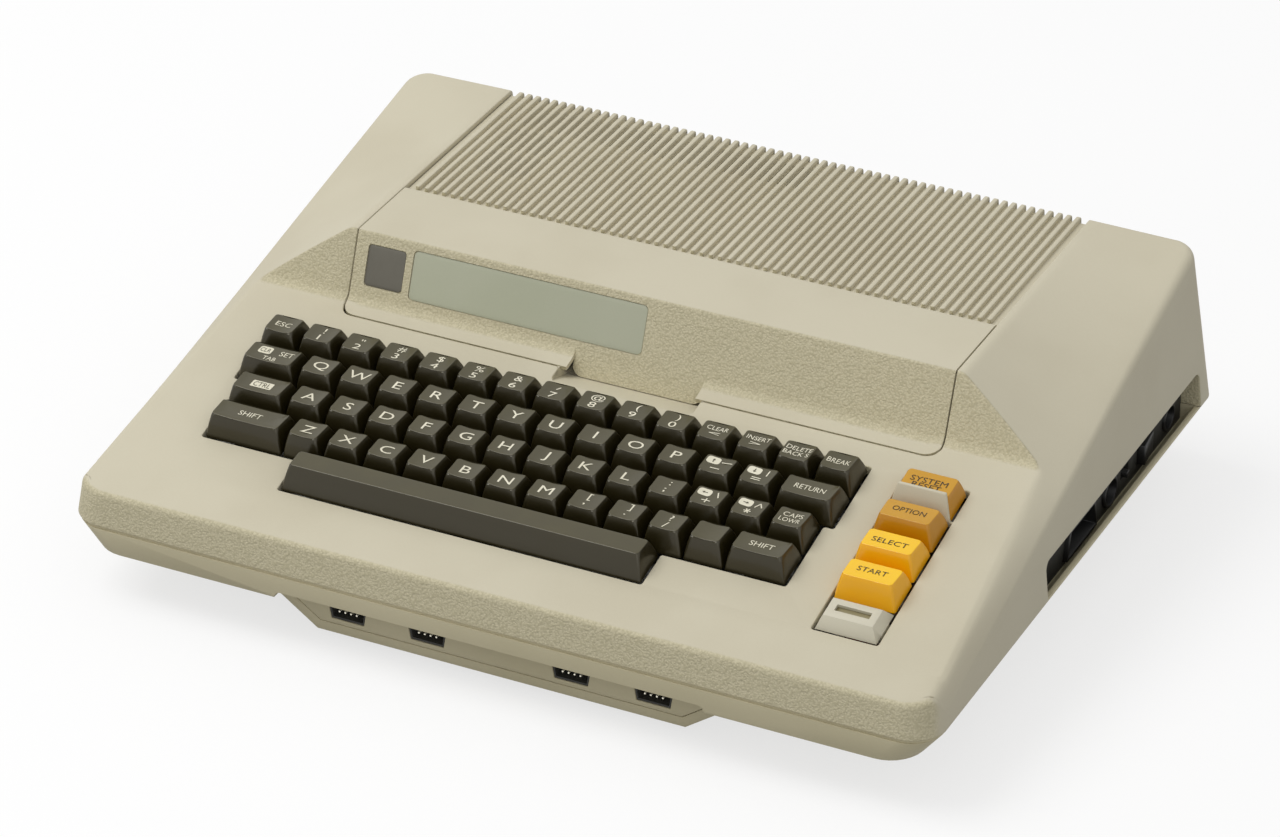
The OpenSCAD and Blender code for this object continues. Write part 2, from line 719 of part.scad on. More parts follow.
module top_bosses() {
    for (p = screw_places) translate([p[0], p[1], seam_z]) cylinder(r = boss_r, h = case_h);
    on_deck() for (p = post_places) translate([p[0], p[1], -plate_depth])
        cylinder(r = 2.8, h = plate_depth);
}

// Distance of the brow's foot from the keyboard's origin, up the deck
foot_v = (foot()[0] - keys_back) / cos(deck_angle);

// Finger pocket in front of the door, grown by t
module pocket_space(t) {
    x = keys_left;
    w = tab_w + 2 * pocket_side + 2 * t;
    y1 = foot_v;
    y0 = y1 - lip_l - pocket_reach;
    translate([-x - w / 2, y0 - t, 0]) rotate([90, 0, 90]) linear_extrude(height = w)
        polygon([[0, over + 3], [0, -0.5 - t], [pocket_reach - 1, -pocket_depth - t],
                 [y1 - y0 + 2 * t + 6, -pocket_depth - t], [y1 - y0 + 2 * t + 6, over + 3]]);
}

ear_w = 3;
module hinge_ear(s) {
    translate([s * (opening_w / 2 + ear_w / 2) - ear_w / 2, hinge[0] - 6, hinge[1] - 7])
        cube([ear_w, 12, case_h - 2.4 - hinge[1] + 7]);
}

module cover_ledge(s) {
    z = case_h - cover_t;
    translate([s * (opening_w / 2 - 0.5) - ledge_w / 2, cover_front + 8, z - 3])
        cube([ledge_w, rear_y(case_h) - wall - 6 - cover_front - 8, 3]);
}

module reset_guard() on_deck() translate([console_x, -u, 0]) {
    w = console_u * u;
    intersection() {
        rotate([90, 0, 90]) linear_extrude(height = w)
            polygon([[0.1, 0], [0.1, -1], [guard_t + 0.1, -1], [guard_t + 0.1, 0],
                     [guard_t + 0.1 + guard_lean * guard_h, guard_h],
                     [0.1 + guard_lean * guard_h, guard_h]]);
        translate([0, u, 0]) rotate([90, 0, 0]) linear_extrude(height = 2 * u)
            polygon([[cap_gap, -2], [w - cap_gap, -2], [w - cap_side_inset - 0.3, guard_h],
                     [cap_side_inset + 0.3, guard_h]]);
    }
    translate([-key_margin - 0.5, 0.2, -wall + 0.4])
        cube([w + 2 * key_margin + 1, guard_t - 0.2, wall - 1]);
}

module side_liner() {
    t = 2;
    x = side_panel_x - side_panel_t - 1;
    block([x - t, side_front_y - t, side_top_z], [case_w, side_rear_y + t, side_top_z + t]);
    for (y = [side_front_y - t, side_rear_y]) block([x, y, seam_z], [case_w, y + t, side_top_z + t]);
}

module gland_axis() {
    translate([gland_x, rear_y(gland_z), gland_z]) rotate([-90 + rear_tilt, 0, 0]) children();
}

module rf_cable_gland() color([0.12, 0.12, 0.12]) gland_axis() difference() {
    union() {
        translate([0, 0, -wall - 2]) cylinder(r = gland_r - 0.2, h = wall + 2.2);
        cylinder(r = gland_r + 1, h = 0.6);
        translate([0, 0, -wall - 3]) cylinder(r = gland_r + 1.5, h = 3);
    }
    translate([0, 0, -far / 2]) cylinder(r = 2.6, h = far);
}

// ---- bottom moulding ----
groove_h = 1.6;
rim_w = case_w - 2 * rim_side_lean;
rim_d = case_d - 2 * rim_front_lean;
belly_x = rim_w / 2 - belly_inset;
belly_y = rim_d / 2 - belly_inset;
pod_y = front_y0 + pod_setback;
pod_back_y = pod_y + 34;

// Outer form of the bottom moulding, set in by t
module bottom_form(t) {
    hull() {
        plan_prism(case_w - 2 * t, case_d - 2 * t, corner_r - t, seam_z - 0.1, seam_z + t, $fn = 32);
        plan_prism(rim_w - 2 * t, rim_d - 2 * t, corner_r - t, rim_z + t, rim_z + t + 0.1, $fn = 32);
    }
    hull() {
        belly_slab(belly_step + t, rim_z + t);
        belly_slab(belly_inset + t * 1.4, belly_z + t);
    }
}

module belly_slab(inset, z) {
    plan_prism(rim_w - 2 * inset, rim_d - 2 * inset, corner_r, z, z + 0.1, $fn = 32);
}

// Trapezoid of the controller-port pod, set in by t, between two depths
module pod_form(t, y0, y1, z1) {
    slope = (pod_top_x - pod_bottom_x) / (rim_z - belly_z);
    z0 = belly_z + t;
    xb = pod_bottom_x + slope * t - t * sqrt(1 + slope * slope);
    xt = xb + slope * (z1 - z0);
    translate([0, y1, 0]) rotate([90, 0, 0]) linear_extrude(height = y1 - y0)
        polygon([[-xb, z0], [xb, z0], [xt, z1], [-xt, z1]]);
}

module bottom_moulding() {
    difference() {
        union() {
            difference() {
                union() {
                    bottom_form(0);
                    pod_form(0, pod_y, pod_back_y, rim_z);
                }
                bottom_form(wall);
                pod_form(wall, pod_y + wall, pod_back_y + far, rim_z + wall + 2);
            }
            intersection() {
                bottom_form(0);
                union() {
                    for (p = screw_places) translate([p[0], p[1], belly_z])
                        cylinder(r = boss_r + 2, h = seam_z - belly_z);
                    block([side_panel_x - side_panel_t - 3, side_front_y - 2, rim_z],
                          [case_w, side_rear_y + 2, side_floor_z]);
                    for (y = [side_front_y - 2, side_rear_y])
                        block([side_panel_x - side_panel_t - 3, y, rim_z], [case_w, y + 2, seam_z]);
                }
            }
        }
        difference() {
            translate([0, 0, seam_z - groove_h]) linear_extrude(height = groove_h + over)
                square([case_w + 2, case_d + 2], center = true);
            plan_prism(case_w - 2 * seam_groove, case_d - 2 * seam_groove, corner_r - seam_groove,
                       seam_z - groove_h - over, seam_z + 2 * over);
        }
        pod_form(pod_border, pod_y - over, pod_y + panel_t, rim_z - 0.4);
        side_well();
        for (x = port_places)
            block([x - port_w / 2 - 1.5, pod_y - over, port_z - port_h / 2 - 1.5],
                  [x + port_w / 2 + 1.5, pod_y + 8, port_z + port_h / 2 + 1.5]);
        for (p = screw_places) translate([p[0], p[1], 0]) {
            cylinder(r = pilot_r + 0.6, h = far);
            cylinder(r = boss_r, h = seam_z - 5);
        }
    }
}

// The space that the port pod fills in front of the tray
module pod_place() {
    pod_form(0, front_y0, pod_back_y, rim_z);
}

// The space on and around the tray's sloping walls, which the rim and the screw bosses fill
module rim_place() {
    inset = 2 * (belly_step + 3 * wall);
    difference() {
        block([-case_w, -case_d, rim_z], [case_w, case_d, case_h]);
        difference() {
            plan_prism(rim_w - inset, rim_d - inset, corner_r, rim_z - over, case_h + over);
            for (p = screw_places) translate([p[0], p[1], 0]) cylinder(r = boss_r + wall, h = case_h);
        }
    }
}

module bottom_case() color([0.76, 0.73, 0.64]) difference() {
    bottom_moulding();
    pod_place();
    rim_place();
}

// Rim that stands on the tray and carries the top moulding, with the side ports' recess
module case_rim() color([0.76, 0.73, 0.64]) intersection() {
    bottom_moulding();
    rim_place();
}

// Housing of the controller ports, made apart from the tray and joined to it
module port_pod() color([0.76, 0.73, 0.64]) intersection() {
    bottom_moulding();
    pod_place();
}

// The lower part of the side recess, behind the rim's wall
module side_well() {
    lean = rim_side_lean / (seam_z - rim_z);
    x0 = side_panel_x - side_panel_t - 1;
    x1 = case_w / 2 - wall;
    top = seam_z + over;
    translate([0, side_rear_y, 0]) rotate([90, 0, 0])
        linear_extrude(height = side_rear_y - side_front_y)
            polygon([[x0, side_floor_z], [x1 - lean * (seam_z - side_floor_z), side_floor_z],
                     [x1, seam_z], [x1, top], [x0, top]]);
}

port_places = [-port_outer_x, -port_inner_x, port_inner_x, port_outer_x];
panel_t = 1.6;
port_slope = 0.17;

// D outline of a controller port, wide side up, set in by t
module port_outline(t) {
    a = port_w / 2 - t;
    b = port_w / 2 - t - (port_h - 2 * t) * port_slope;
    h = port_h / 2 - t;
    polygon([[-a, h], [a, h], [b, -h], [-b, -h]]);
}

// Extrudes a port's outline from depth y0 to y1 behind the pod's face
module port_cut(y0, y1) {
    translate([0, pod_y + y1, port_z]) rotate([90, 0, 0]) linear_extrude(height = y1 - y0) children();
}

module jack_panel() color([0.76, 0.73, 0.64]) difference() {
    pod_form(pod_border + 0.3, pod_y, pod_y + panel_t - 0.1, rim_z - 0.6);
    for (x = port_places) translate([x, 0, 0]) port_cut(-over, far) port_outline(0);
}

module controller_jacks() color([0.06, 0.06, 0.06]) for (x = port_places) translate([x, 0, 0])
    difference() {
        union() {
            port_cut(0.4, port_depth) port_outline(0.15);
            port_cut(panel_t, port_depth + 2) square([port_w + 2, port_h + 2], center = true);
        }
        port_cut(-over, port_depth) port_outline(1.1);
    }

module connector_pins() color([0.85, 0.82, 0.7]) {
    for (x = port_places) {
        for (i = [0 : 4]) port_pin(x + (i - 2) * pin_pitch, pin_rows / 2);
        for (i = [0 : 3]) port_pin(x + (i - 1.5) * pin_pitch, -pin_rows / 2);
    }
    for (i = [0 : 6]) serial_pin(i - 3, 2);
    for (i = [0 : 5]) serial_pin(i - 2.5, -2);
}

module port_pin(x, z) {
    translate([x, pod_y + port_depth, port_z + z]) rotate([90, 0, 0])
        cylinder(r = 0.5, h = pin_l, $fn = 16);
}

serial_pitch = 3.8;
serial_depth = 10;
serial_pin_l = 7;

module serial_pin(i, z) {
    translate([side_panel_x - serial_depth, serial_y + i * serial_pitch, side_port_z + z])
        rotate([0, 90, 0]) cylinder(r = 0.8, h = serial_pin_l, $fn = 16);
}

// ---- ports in the side ----
// Puts children on the side panel: X along the case, Y up, Z outwards
module on_side(y) {
    translate([side_panel_x, y, side_port_z]) rotate([90, 0, 90]) children();
}

module side_panel() color([0.12, 0.12, 0.11]) difference() {
    block([side_panel_x - side_panel_t, side_front_y + 0.2, side_floor_z],
          [side_panel_x, side_rear_y - 0.2, side_top_z - 0.2]);
    on_side(serial_y) translate([0, 0, -far / 2]) linear_extrude(height = far) serial_outline(0);
    on_side(monitor_y) translate([0, 0, -far / 2]) cylinder(r = monitor_r + 1.6, h = far);
    on_side(channel_y) cube([9, 5, far], center = true);
    on_side(power_y) cube([15, 11, far], center = true);
    on_side(inlet_y) translate([0, 0, -far / 2]) cylinder(r = inlet_r + 1.4, h = far);
}

module serial_outline(t) {
    w = serial_w / 2 - t;
    h = serial_h / 2 - t;
    polygon([[-w, -h], [w, -h], [w - 3, h], [-w + 3, h]]);
}

module serial_port() color([0.06, 0.06, 0.06]) on_side(serial_y) difference() {
    translate([0, 0, -serial_depth - 2]) linear_extrude(height = serial_depth + 4) serial_outline(0.15);
    translate([0, 0, -serial_depth]) linear_extrude(height = far) serial_outline(1.6);
}

module monitor_jack() color([0.16, 0.16, 0.15]) on_side(monitor_y) difference() {
    translate([0, 0, -12]) cylinder(r = monitor_r + 1.5, h = 13.5);
    translate([0, 0, -9]) cylinder(r = monitor_r, h = far);
}

module channel_switch() color([0.08, 0.08, 0.08]) on_side(channel_y) {
    translate([-1.5 - 1.8, -1.4, -1]) cube([3, 2.8, 3.4]);
    translate([-1.5 - 1.8 - 0.5, -2, -side_panel_t - 2]) cube([4, 4, 1.5]);
    translate([-1.5 - 1.8, -1.4, -side_panel_t - 2]) cube([3, 2.8, side_panel_t + 1.5]);
}

module power_switch() color([0.06, 0.06, 0.06]) on_side(power_y) {
    rocker_w = 14;
    rocker_h = 10;
    rotate([0, 6, 0]) translate([-rocker_w / 2, -rocker_h / 2, -4]) cube([rocker_w, rocker_h, 6.8]);
}

module power_jack() color([0.1, 0.1, 0.1]) on_side(inlet_y) {
    difference() {
        translate([0, 0, -12]) cylinder(r = inlet_r + 1.3, h = 13.2);
        translate([0, 0, -9]) cylinder(r = inlet_r, h = far);
    }
    translate([0, 0, -9.5]) cylinder(r = 1, h = 5.5, $fn = 24);
}

// ---- feet and screws ----
module rubber_feet() color([0.1, 0.1, 0.1]) for (sx = [-1, 1], sy = [-1, 1])
    translate([sx * (belly_x - foot_side_in), sy * (belly_y - foot_end_in), 0])
            cylinder(r = foot_r, h = belly_z);

module case_screws() color("silver") for (p = screw_places) translate([p[0], p[1], seam_z - 5]) {
    translate([0, 0, -2.4]) cylinder(r = boss_r - 0.5, h = 2.4);
    cylinder(r = pilot_r - 0.1, h = 14);
}

// ---- cartridge bay ----
bay_x = opening_w / 2 - 4;
bay_front = lip_front + 3.5;
bay_rear = cover_front - 3;
bay_rim_z = case_h - 8.5;

module bay_side_profile() {
    polygon([
        [bay_front, bay_floor_z], [bay_front, deck_z(bay_front, wall) - 1.2],
        [foot(wall)[0] + 2.4, deck_z(foot(wall)[0], wall) - 0.5],
        [brow_y(bay_rim_z, wall) + 2.4, bay_rim_z], [bay_rear, bay_rim_z], [bay_rear, bay_floor_z]]);
}

module cartridge_bay() color([0.30, 0.29, 0.26]) difference() {
    union() {
        for (s = [-1, 1]) translate([s * (bay_x - bay_wall / 2), 0, 0]) across(bay_wall) bay_side_profile();
        block([-bay_x, bay_front, bay_floor_z - bay_wall], [bay_x, bay_rear, bay_floor_z]);
        block([-bay_x, bay_front, bay_floor_z],
              [bay_x, bay_front + bay_wall, deck_z(bay_front, wall) - 1.4 - pocket_depth / 3]);
        block([-bay_x, bay_rear - bay_wall, bay_floor_z], [bay_x, bay_rear, bay_rim_z - 6]);
        for (s = [-1, 1]) well_block(s, bay_wall, well_bottom_z, bay_floor_z);
        for (s = [-1, 1]) block([s * latch_x - 8, latch_y - 6, bay_floor_z],
                                [s * latch_x + 8, bay_rear, latch_z]);
    }
    for (s = [-1, 1]) well_block(s, 0, well_bottom_z + bay_wall, bay_floor_z + over);
    for (s = [-1, 1]) translate([s * latch_x, latch_y, latch_z - 5]) cylinder(r = 2.5, h = far);
    on_deck() pocket_space(wall);
}

module well_block(s, t, z0, z1) {
    translate([s * well_x - well_w / 2 - t, well_y - well_d / 2 - t, z0])
        cube([well_w + 2 * t, well_d + 2 * t, z1 - z0]);
}

// ---- electronics ----
supply_w = 69;
supply_l = 90;
supply_x1 = belly_x + 15.8;
supply_x0 = supply_x1 - supply_w;
supply_y1 = belly_y;
supply_y0 = supply_y1 - supply_l;
supply_z = 22;
shield_x0 = -(belly_x - wall * 1.4 - 7);
shield_x1 = supply_x0 - 7;
shield_y0 = -14;
shield_y1 = belly_y - wall * 1.4 - 6.3;
shield_wall = 2;
board_bottom_z = board_z - board_t;
floor_z = belly_z + wall;
cage_x0 = shield_x0 + 36;
cage_top_z = 46;
cage_y0 = -12;

module lower_shield() color([0.66, 0.66, 0.66]) difference() {
    block([shield_x0, shield_y0, floor_z], [shield_x1, shield_y1, board_bottom_z]);
    block([shield_x0 + shield_wall, shield_y0 + shield_wall, floor_z + shield_wall],
          [shield_x1 - shield_wall, shield_y1 - shield_wall, board_z]);
}

module main_board() color([0.1, 0.35, 0.15])
    block([shield_x0, shield_y0, board_bottom_z], [shield_x1, shield_y1, board_z]);

module upper_shield() color([0.66, 0.66, 0.66]) difference() {
    block([cage_x0, cage_y0, board_z], [shield_x1 - 0.5, shield_y1 - 1, cage_top_z]);
    block([cage_x0 + shield_wall, cage_y0 + shield_wall, board_z - over],
          [shield_x1 - 0.5 - shield_wall, shield_y1 - 1 - shield_wall, cage_top_z - shield_wall]);
    for (s = [-1, 1]) well_block(s, bay_wall + 0.3, board_z, cage_top_z + over);
    block([-module_w / 2 - 3, module_y(0) - module_t, board_z],
          [module_w / 2 + 3, cpu_y + 4, cage_top_z + over]);
}

module_w = 116;
module_top_z = 100;
cpu_y = 106;
function module_y(i) = 48 + module_t / 2 + i * module_pitch;

module memory_modules() color([0.25, 0.25, 0.23]) for (i = [0 : module_count - 1])
    block([-module_w / 2, module_y(i) - module_t / 2, board_z],
          [module_w / 2, module_y(i) + module_t / 2, module_top_z]);

module cpu_board() color([0.1, 0.35, 0.15]) {
    block([-module_w / 2, cpu_y, board_z], [module_w / 2, cpu_y + board_t, module_top_z - 6]);
    for (x = [-36, 0, 36]) block([x - 8, cpu_y - 4, board_z + 12], [x + 8, cpu_y, board_z + 62]);
}

module board_chips() color([0.08, 0.08, 0.08]) for (x = [4, 22], y = [10, 40])
    translate([shield_x0 + x, shield_y0 + y, board_z]) cube([10, 24, 5]);

modulator_size = [32, 42, 22];
module rf_modulator() color([0.75, 0.75, 0.75])
    translate([shield_x0, shield_y1 - modulator_size[1] - 2, board_z]) cube(modulator_size);

module power_supply_board() color([0.45, 0.35, 0.2]) {
    block([supply_x0, supply_y0, supply_z], [supply_x1, supply_y1, supply_z + board_t]);
    for (x = [supply_x0 + 6, supply_x0 + 44], y = [supply_y0 + 6, supply_y1 - 14])
        translate([x, y, floor_z]) cylinder(r = 3, h = supply_z - floor_z);
}

module filter_capacitors() color([0.2, 0.3, 0.55]) for (y = [20, 50])
    translate([supply_x0 + 16, supply_y0 + y, supply_z + board_t]) cylinder(r = 11, h = 42);

module heat_sink() color([0.3, 0.3, 0.3]) {
    x = supply_x0 + 42;
    y = supply_y0 + 14;
    z = supply_z + board_t;
    block([x, y, z], [x + 3, y + 68, z + 40]);
    for (i = [0 : 8]) translate([x + 3, y + i * 8, z]) cube([18, 2, 40]);
}

module speaker() color([0.15, 0.15, 0.15]) translate([-(belly_x - 45.2), -(belly_y - 49.5), floor_z]) {
    cylinder(r = 28, h = 4);
    translate([0, 0, 4]) cylinder(r1 = 22, r2 = 13, h = 10);
    translate([0, 0, 14]) cylinder(r = 13, h = 6);
}

// ---- door interlock ----
plunger_x = 128;
plunger_y = 10;
plunger_r = 2;
plunger_top = case_h - door_t;

module interlock_switch() color([0.15, 0.15, 0.15]) difference() {
    block([plunger_x - 7, plunger_y - 5, bay_floor_z], [plunger_x + 7, plunger_y + 5, case_h - 16]);
    translate([plunger_x, plunger_y, case_h - 30]) cylinder(r = plunger_r + 0.3, h = far);
}

module interlock_plunger() color([0.8, 0.3, 0.2])
    translate([plunger_x, plunger_y, case_h - 26]) cylinder(r = plunger_r, h = plunger_top - case_h + 26);

bottom_case();
case_rim();
port_pod();
top_case();
cartridge_bay();
cartridge_door();
door_hinge_pins();
name_plate();
badge_plate();
memory_cover();
left_cover_latch();
right_cover_latch();
power_light_lens();
power_led();
jack_panel();
controller_jacks();
connector_pins();
side_panel();
serial_port();
monitor_jack();
channel_switch();
power_switch();
power_jack();
rf_cable_gland();
rubber_feet();
case_screws();
keyboard_plate();
keyboard_board();
key_switch_housings();
lower_shield();
upper_shield();
main_board();
board_chips();
memory_modules();
cpu_board();
power_supply_board();
filter_capacitors();
heat_sink();
rf_modulator();
speaker();
interlock_switch();
interlock_plunger();
reset_key();
option_key();
select_key();
start_key();
esc_key();
number_keys_left();
number_keys_right();
break_key();
tab_key();
upper_letter_keys_left();
upper_letter_keys_right();
return_key();
control_key();
home_letter_keys_left();
home_letter_keys_right();
caps_key();
left_shift_key();
lower_letter_keys();
right_shift_key();
space_bar();
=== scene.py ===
import contextlib
import json
import math

import bmesh
import bpy
from mathutils import Matrix, Vector
from mathutils.geometry import tessellate_polygon

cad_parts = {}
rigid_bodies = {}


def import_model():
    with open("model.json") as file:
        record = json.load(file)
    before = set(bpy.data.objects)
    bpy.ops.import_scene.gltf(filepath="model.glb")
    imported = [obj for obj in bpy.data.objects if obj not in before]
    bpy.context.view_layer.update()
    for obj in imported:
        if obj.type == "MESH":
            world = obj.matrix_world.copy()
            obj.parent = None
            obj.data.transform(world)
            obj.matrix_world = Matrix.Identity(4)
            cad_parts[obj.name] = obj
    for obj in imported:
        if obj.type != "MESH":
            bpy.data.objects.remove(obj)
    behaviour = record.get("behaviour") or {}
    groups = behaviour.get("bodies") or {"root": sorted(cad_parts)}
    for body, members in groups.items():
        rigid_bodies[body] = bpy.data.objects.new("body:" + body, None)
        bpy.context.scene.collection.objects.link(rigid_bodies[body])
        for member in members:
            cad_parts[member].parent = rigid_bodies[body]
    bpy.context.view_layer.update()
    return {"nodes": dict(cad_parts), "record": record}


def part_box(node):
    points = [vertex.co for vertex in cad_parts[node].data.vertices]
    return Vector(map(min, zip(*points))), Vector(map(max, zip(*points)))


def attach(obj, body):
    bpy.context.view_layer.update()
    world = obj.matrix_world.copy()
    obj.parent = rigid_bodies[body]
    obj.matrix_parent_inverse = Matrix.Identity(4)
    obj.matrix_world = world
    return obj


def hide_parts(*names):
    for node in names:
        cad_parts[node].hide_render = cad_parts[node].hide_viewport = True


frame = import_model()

# ---- sizes of the case, in millimetres ----
MM = 0.001
shell_low, shell_high = (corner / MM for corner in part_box("top_case"))
CASE_W = shell_high.x - shell_low.x
CASE_D = shell_high.y - shell_low.y
CASE_H = shell_high.z
SEAM_Z = shell_low.z
SIDE_LEAN = 7.8 / (CASE_H - SEAM_Z)
REAR_LEAN = 9.85 / (CASE_H - SEAM_Z)
DECK_FRONT_Z = 52.05
DECK_FRONT_Y = -CASE_D / 2 + 3
FRONT_LEAN = 3 / (DECK_FRONT_Z - SEAM_Z)
DECK = math.radians(12.65)
BROW = math.radians(68.7)
EDGE_SLOPE = math.tan(math.radians(13.4))
SHOULDER_X = 147
CREASE_FRONT_X = 199.4
FRONT_R, REAR_R = 16, 10
COVE_R, BROW_EDGE_R = 7, 1.6
WALL = 3

# ---- sizes of the opening, the door and the vent cover ----
GAP = 0.6
DOOR_W = 286
OPEN_X = DOOR_W / 2 + GAP
LIP_L = 8.6
OPEN_CORNER_R = 7
KNUCKLE_R = 3.4
HINGE_Y, HINGE_Z = 41.8, CASE_H - KNUCKLE_R
TAB_X, TAB_DROP, TAB_R = 31, 9, 4.5
POCKET_X, POCKET_REACH, POCKET_DEPTH = 34, 10, 9
COVER_FRONT = 45.8
COVER_DROP = 20
COVER_T, GROOVE_DEPTH = 3.2, 2.1
RIB_COUNT, RIB_W, RIB_SPAN = 64, 2.1, 279.2
RIB_PITCH = (RIB_SPAN - RIB_W) / (RIB_COUNT - 1)
SLOT_W, SLOT_L, SLOT_GAP, FIRST_SLOT = 1.4, 20, 3, 3
LONG_ROW, SHORT_ROW, SLOT_BACK, SLOT_R = 32, 6, 8, 0.65

# ---- sizes of the keyboard ----
KEY = 19.05
KEYS_LEFT, KEYS_BACK = -166, -35.25
CONSOLE_X, CONSOLE_U = 302.2, 1.5
HOLE_MARGIN = 0.8
CAP_GAP, CAP_SINK, CAP_TOP = 0.45, 1, 10.3
SIDE_INSET, FRONT_INSET, BACK_INSET, CAP_DROP, DISH = 3.05, 4.6, 2.7, 1.9, 0.8
LETTER_STRETCH, DIGIT_STRETCH = 1.28, 1.4

# ---- sizes of the side recess ----
RECESS_FRONT_Y, RECESS_REAR_Y, RECESS_TOP_Z = -36.5, 140.5, 54.6
PANEL_X = 193.6

# ---- sizes of the skirt over the controller ports ----
RIM_Z, POD_Y, ARCH_X = 23.9, -146, 101
PORTS, PORT_Z, PIN_PITCH, PIN_ROWS, PIN_R = (-72.2, -34, 34, 72.2), 17.9, 2.77, 2.84, 0.5

# ---- how finely the top moulding's surface is divided ----
COLUMNS, END_STEPS, CORNER_STEPS, EDGE_STEPS, WALL_LEVELS = 17, 5, 6, 6, 4
FOOT_R = 0.6


# ---------------------------------------------------------------- mesh tools
def lerp(a, b, f):
    """The value between a and b at the fraction f."""
    return a + (b - a) * f


def spread(a, b, count):
    """count + 1 even steps from a to b."""
    return [lerp(a, b, i / count) for i in range(count + 1)]


def arc_path(points, radii, steps=6):
    """Open 2-D path through the points, whose inner corners are rounded to the radii."""
    path = [Vector(points[0])]
    for k in range(1, len(points) - 1):
        before, corner, after = (Vector(p) for p in points[k - 1:k + 2])
        path += corner_arc(before, corner, after, radii[k - 1], steps)
    return path + [Vector(points[-1])]


def corner_arc(before, corner, after, radius, steps):
    """Points of the arc that rounds one corner of a 2-D path."""
    d0, d1 = (corner - before).normalized(), (after - corner).normalized()
    turn = math.atan2(d0.x * d1.y - d0.y * d1.x, d0.dot(d1))
    if radius < 0.02 or abs(turn) < 0.01:
        return [corner]
    sign = math.copysign(1, turn)
    start = corner - d0 * radius * math.tan(abs(turn) / 2)
    left = Vector((-d0.y, d0.x)) * sign * radius
    centre = start + left
    return [centre + Matrix.Rotation(turn * i / steps, 2) @ -left for i in range(steps + 1)]


def rounded(corners, radius, inset=0.0, steps=5):
    """Closed anticlockwise 2-D outline, moved in by inset, with rounded corners."""
    outline, n = [], len(corners)
    radii = radius if isinstance(radius, (list, tuple)) else [radius] * n
    for k in range(n):
        a, b, c = (Vector(corners[(k + d) % n]) for d in (-1, 0, 1))
        d0, d1 = (b - a).normalized(), (c - b).normalized()
        n0, n1 = Vector((-d0.y, d0.x)), Vector((-d1.y, d1.x))
        shift = inset * (n0 + n1) / (1 + n0.dot(n1))
        turn = d0.x * d1.y - d0.y * d1.x
        r = max(radii[k] - inset * math.copysign(1, turn), 0.05)
        outline += corner_arc(a + shift, b + shift, c + shift, r, steps)
    return outline


def rect(x0, x1, y0, y1):
    """Corners of a rectangle, anticlockwise."""
    return [(x0, y0), (x1, y0), (x1, y1), (x0, y1)]


@contextlib.contextmanager
def edited(data):
    """A mesh opened for editing, and written back at the end."""
    work = bmesh.new()
    work.from_mesh(data)
    yield work
    work.to_mesh(data)
    work.free()


class Skin:
    """Collects points in millimetres and faces with a finish number, and makes a mesh of them."""

    def __init__(self):
        self.points, self.faces, self.finishes = [], [], []

    def add(self, points):
        start = len(self.points)
        self.points += [Vector(p) for p in points]
        return list(range(start, len(self.points)))

    def face(self, indices, finish=0):
        self.faces.append(indices)
        self.finishes.append(finish)

    def strips(self, rows, closed=False):
        """Quads between rows of points that have the same length."""
        rows = [self.add(row) for row in rows]
        n = len(rows[0])
        for a, b in zip(rows, rows[1:]):
            for i in range(n if closed else n - 1):
                k = (i + 1) % n
                self.face([a[i], a[k], b[k], b[i]])
        return rows

    def tube(self, rows):
        """A closed tube through the rows, with a face on each end."""
        rows = self.strips(rows, closed=True)
        self.face(rows[0])
        self.face(rows[-1])

    def fill(self, loops):
        """Triangles inside the first loop and outside the others, all in one plane."""
        corners = self.add([p for loop in loops for p in loop])
        for triangle in tessellate_polygon([[Vector(p) for p in loop] for loop in loops]):
            self.face([corners[i] for i in triangle])

    def lip(self, path, normals, into, radius, depth, closed=True):
        """Rounds a surface over an edge and takes it down by depth: into points off the surface."""
        rows = []
        for k in range(4):
            a = math.radians(30 * k)
            rows.append([p + radius * (w * math.sin(a) - n * (1 - math.cos(a)))
                         for p, n, w in zip(path, normals, into)])
        rows.append([p + radius * w - n * depth for p, n, w in zip(path, normals, into)])
        self.strips(rows, closed)
        return rows[-1]

    def mesh(self, name, up=None, weld=0.002):
        """The welded mesh in metres. up is a point off the surface that its nearest face looks at."""
        data = bpy.data.meshes.new(name)
        data.from_pydata([p * MM for p in self.points], [], self.faces)
        data.polygons.foreach_set("material_index", self.finishes)
        with edited(data) as work:
            bmesh.ops.remove_doubles(work, verts=work.verts, dist=weld * MM)
            bmesh.ops.dissolve_degenerate(work, edges=work.edges, dist=weld * MM / 4)
            bmesh.ops.recalc_face_normals(work, faces=work.faces)
            if up is not None:
                target = Vector(up) * MM
                near = min(work.faces, key=lambda f: (f.calc_center_median() - target).length)
                if near.normal.dot(target - near.calc_center_median()) < 0:
                    bmesh.ops.reverse_faces(work, faces=work.faces)
        return data


def linked(name, data):
    """A new object in the scene."""
    piece = bpy.data.objects.new(name, data)
    bpy.context.scene.collection.objects.link(piece)
    return piece


def shown_mesh(piece):
    """The mesh that an object shows, and the object taken away."""
    depsgraph = bpy.context.evaluated_depsgraph_get()
    result = bpy.data.meshes.new_from_object(piece.evaluated_get(depsgraph))
    bpy.data.objects.remove(piece)
    return result


def place(name, data, finishes, body, slot, nodes=(), angle=35):
    """A finished piece: its finishes, the body it rides on and the CAD nodes it stands for. The slot
    argument is not used.

    It is shaded smooth, with edges sharper than the angle kept sharp. Clearing the materials sets all
    the faces to the first finish, so a mesh that has none isn't cleared.
    """
    if data.materials:
        data.materials.clear()
    for finish in finishes:
        data.materials.append(finish)
    data.shade_smooth()
    data.set_sharp_from_angle(angle=math.radians(angle))
    piece = linked(name, data)
    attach(piece, body)
    if nodes:
        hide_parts(*nodes)


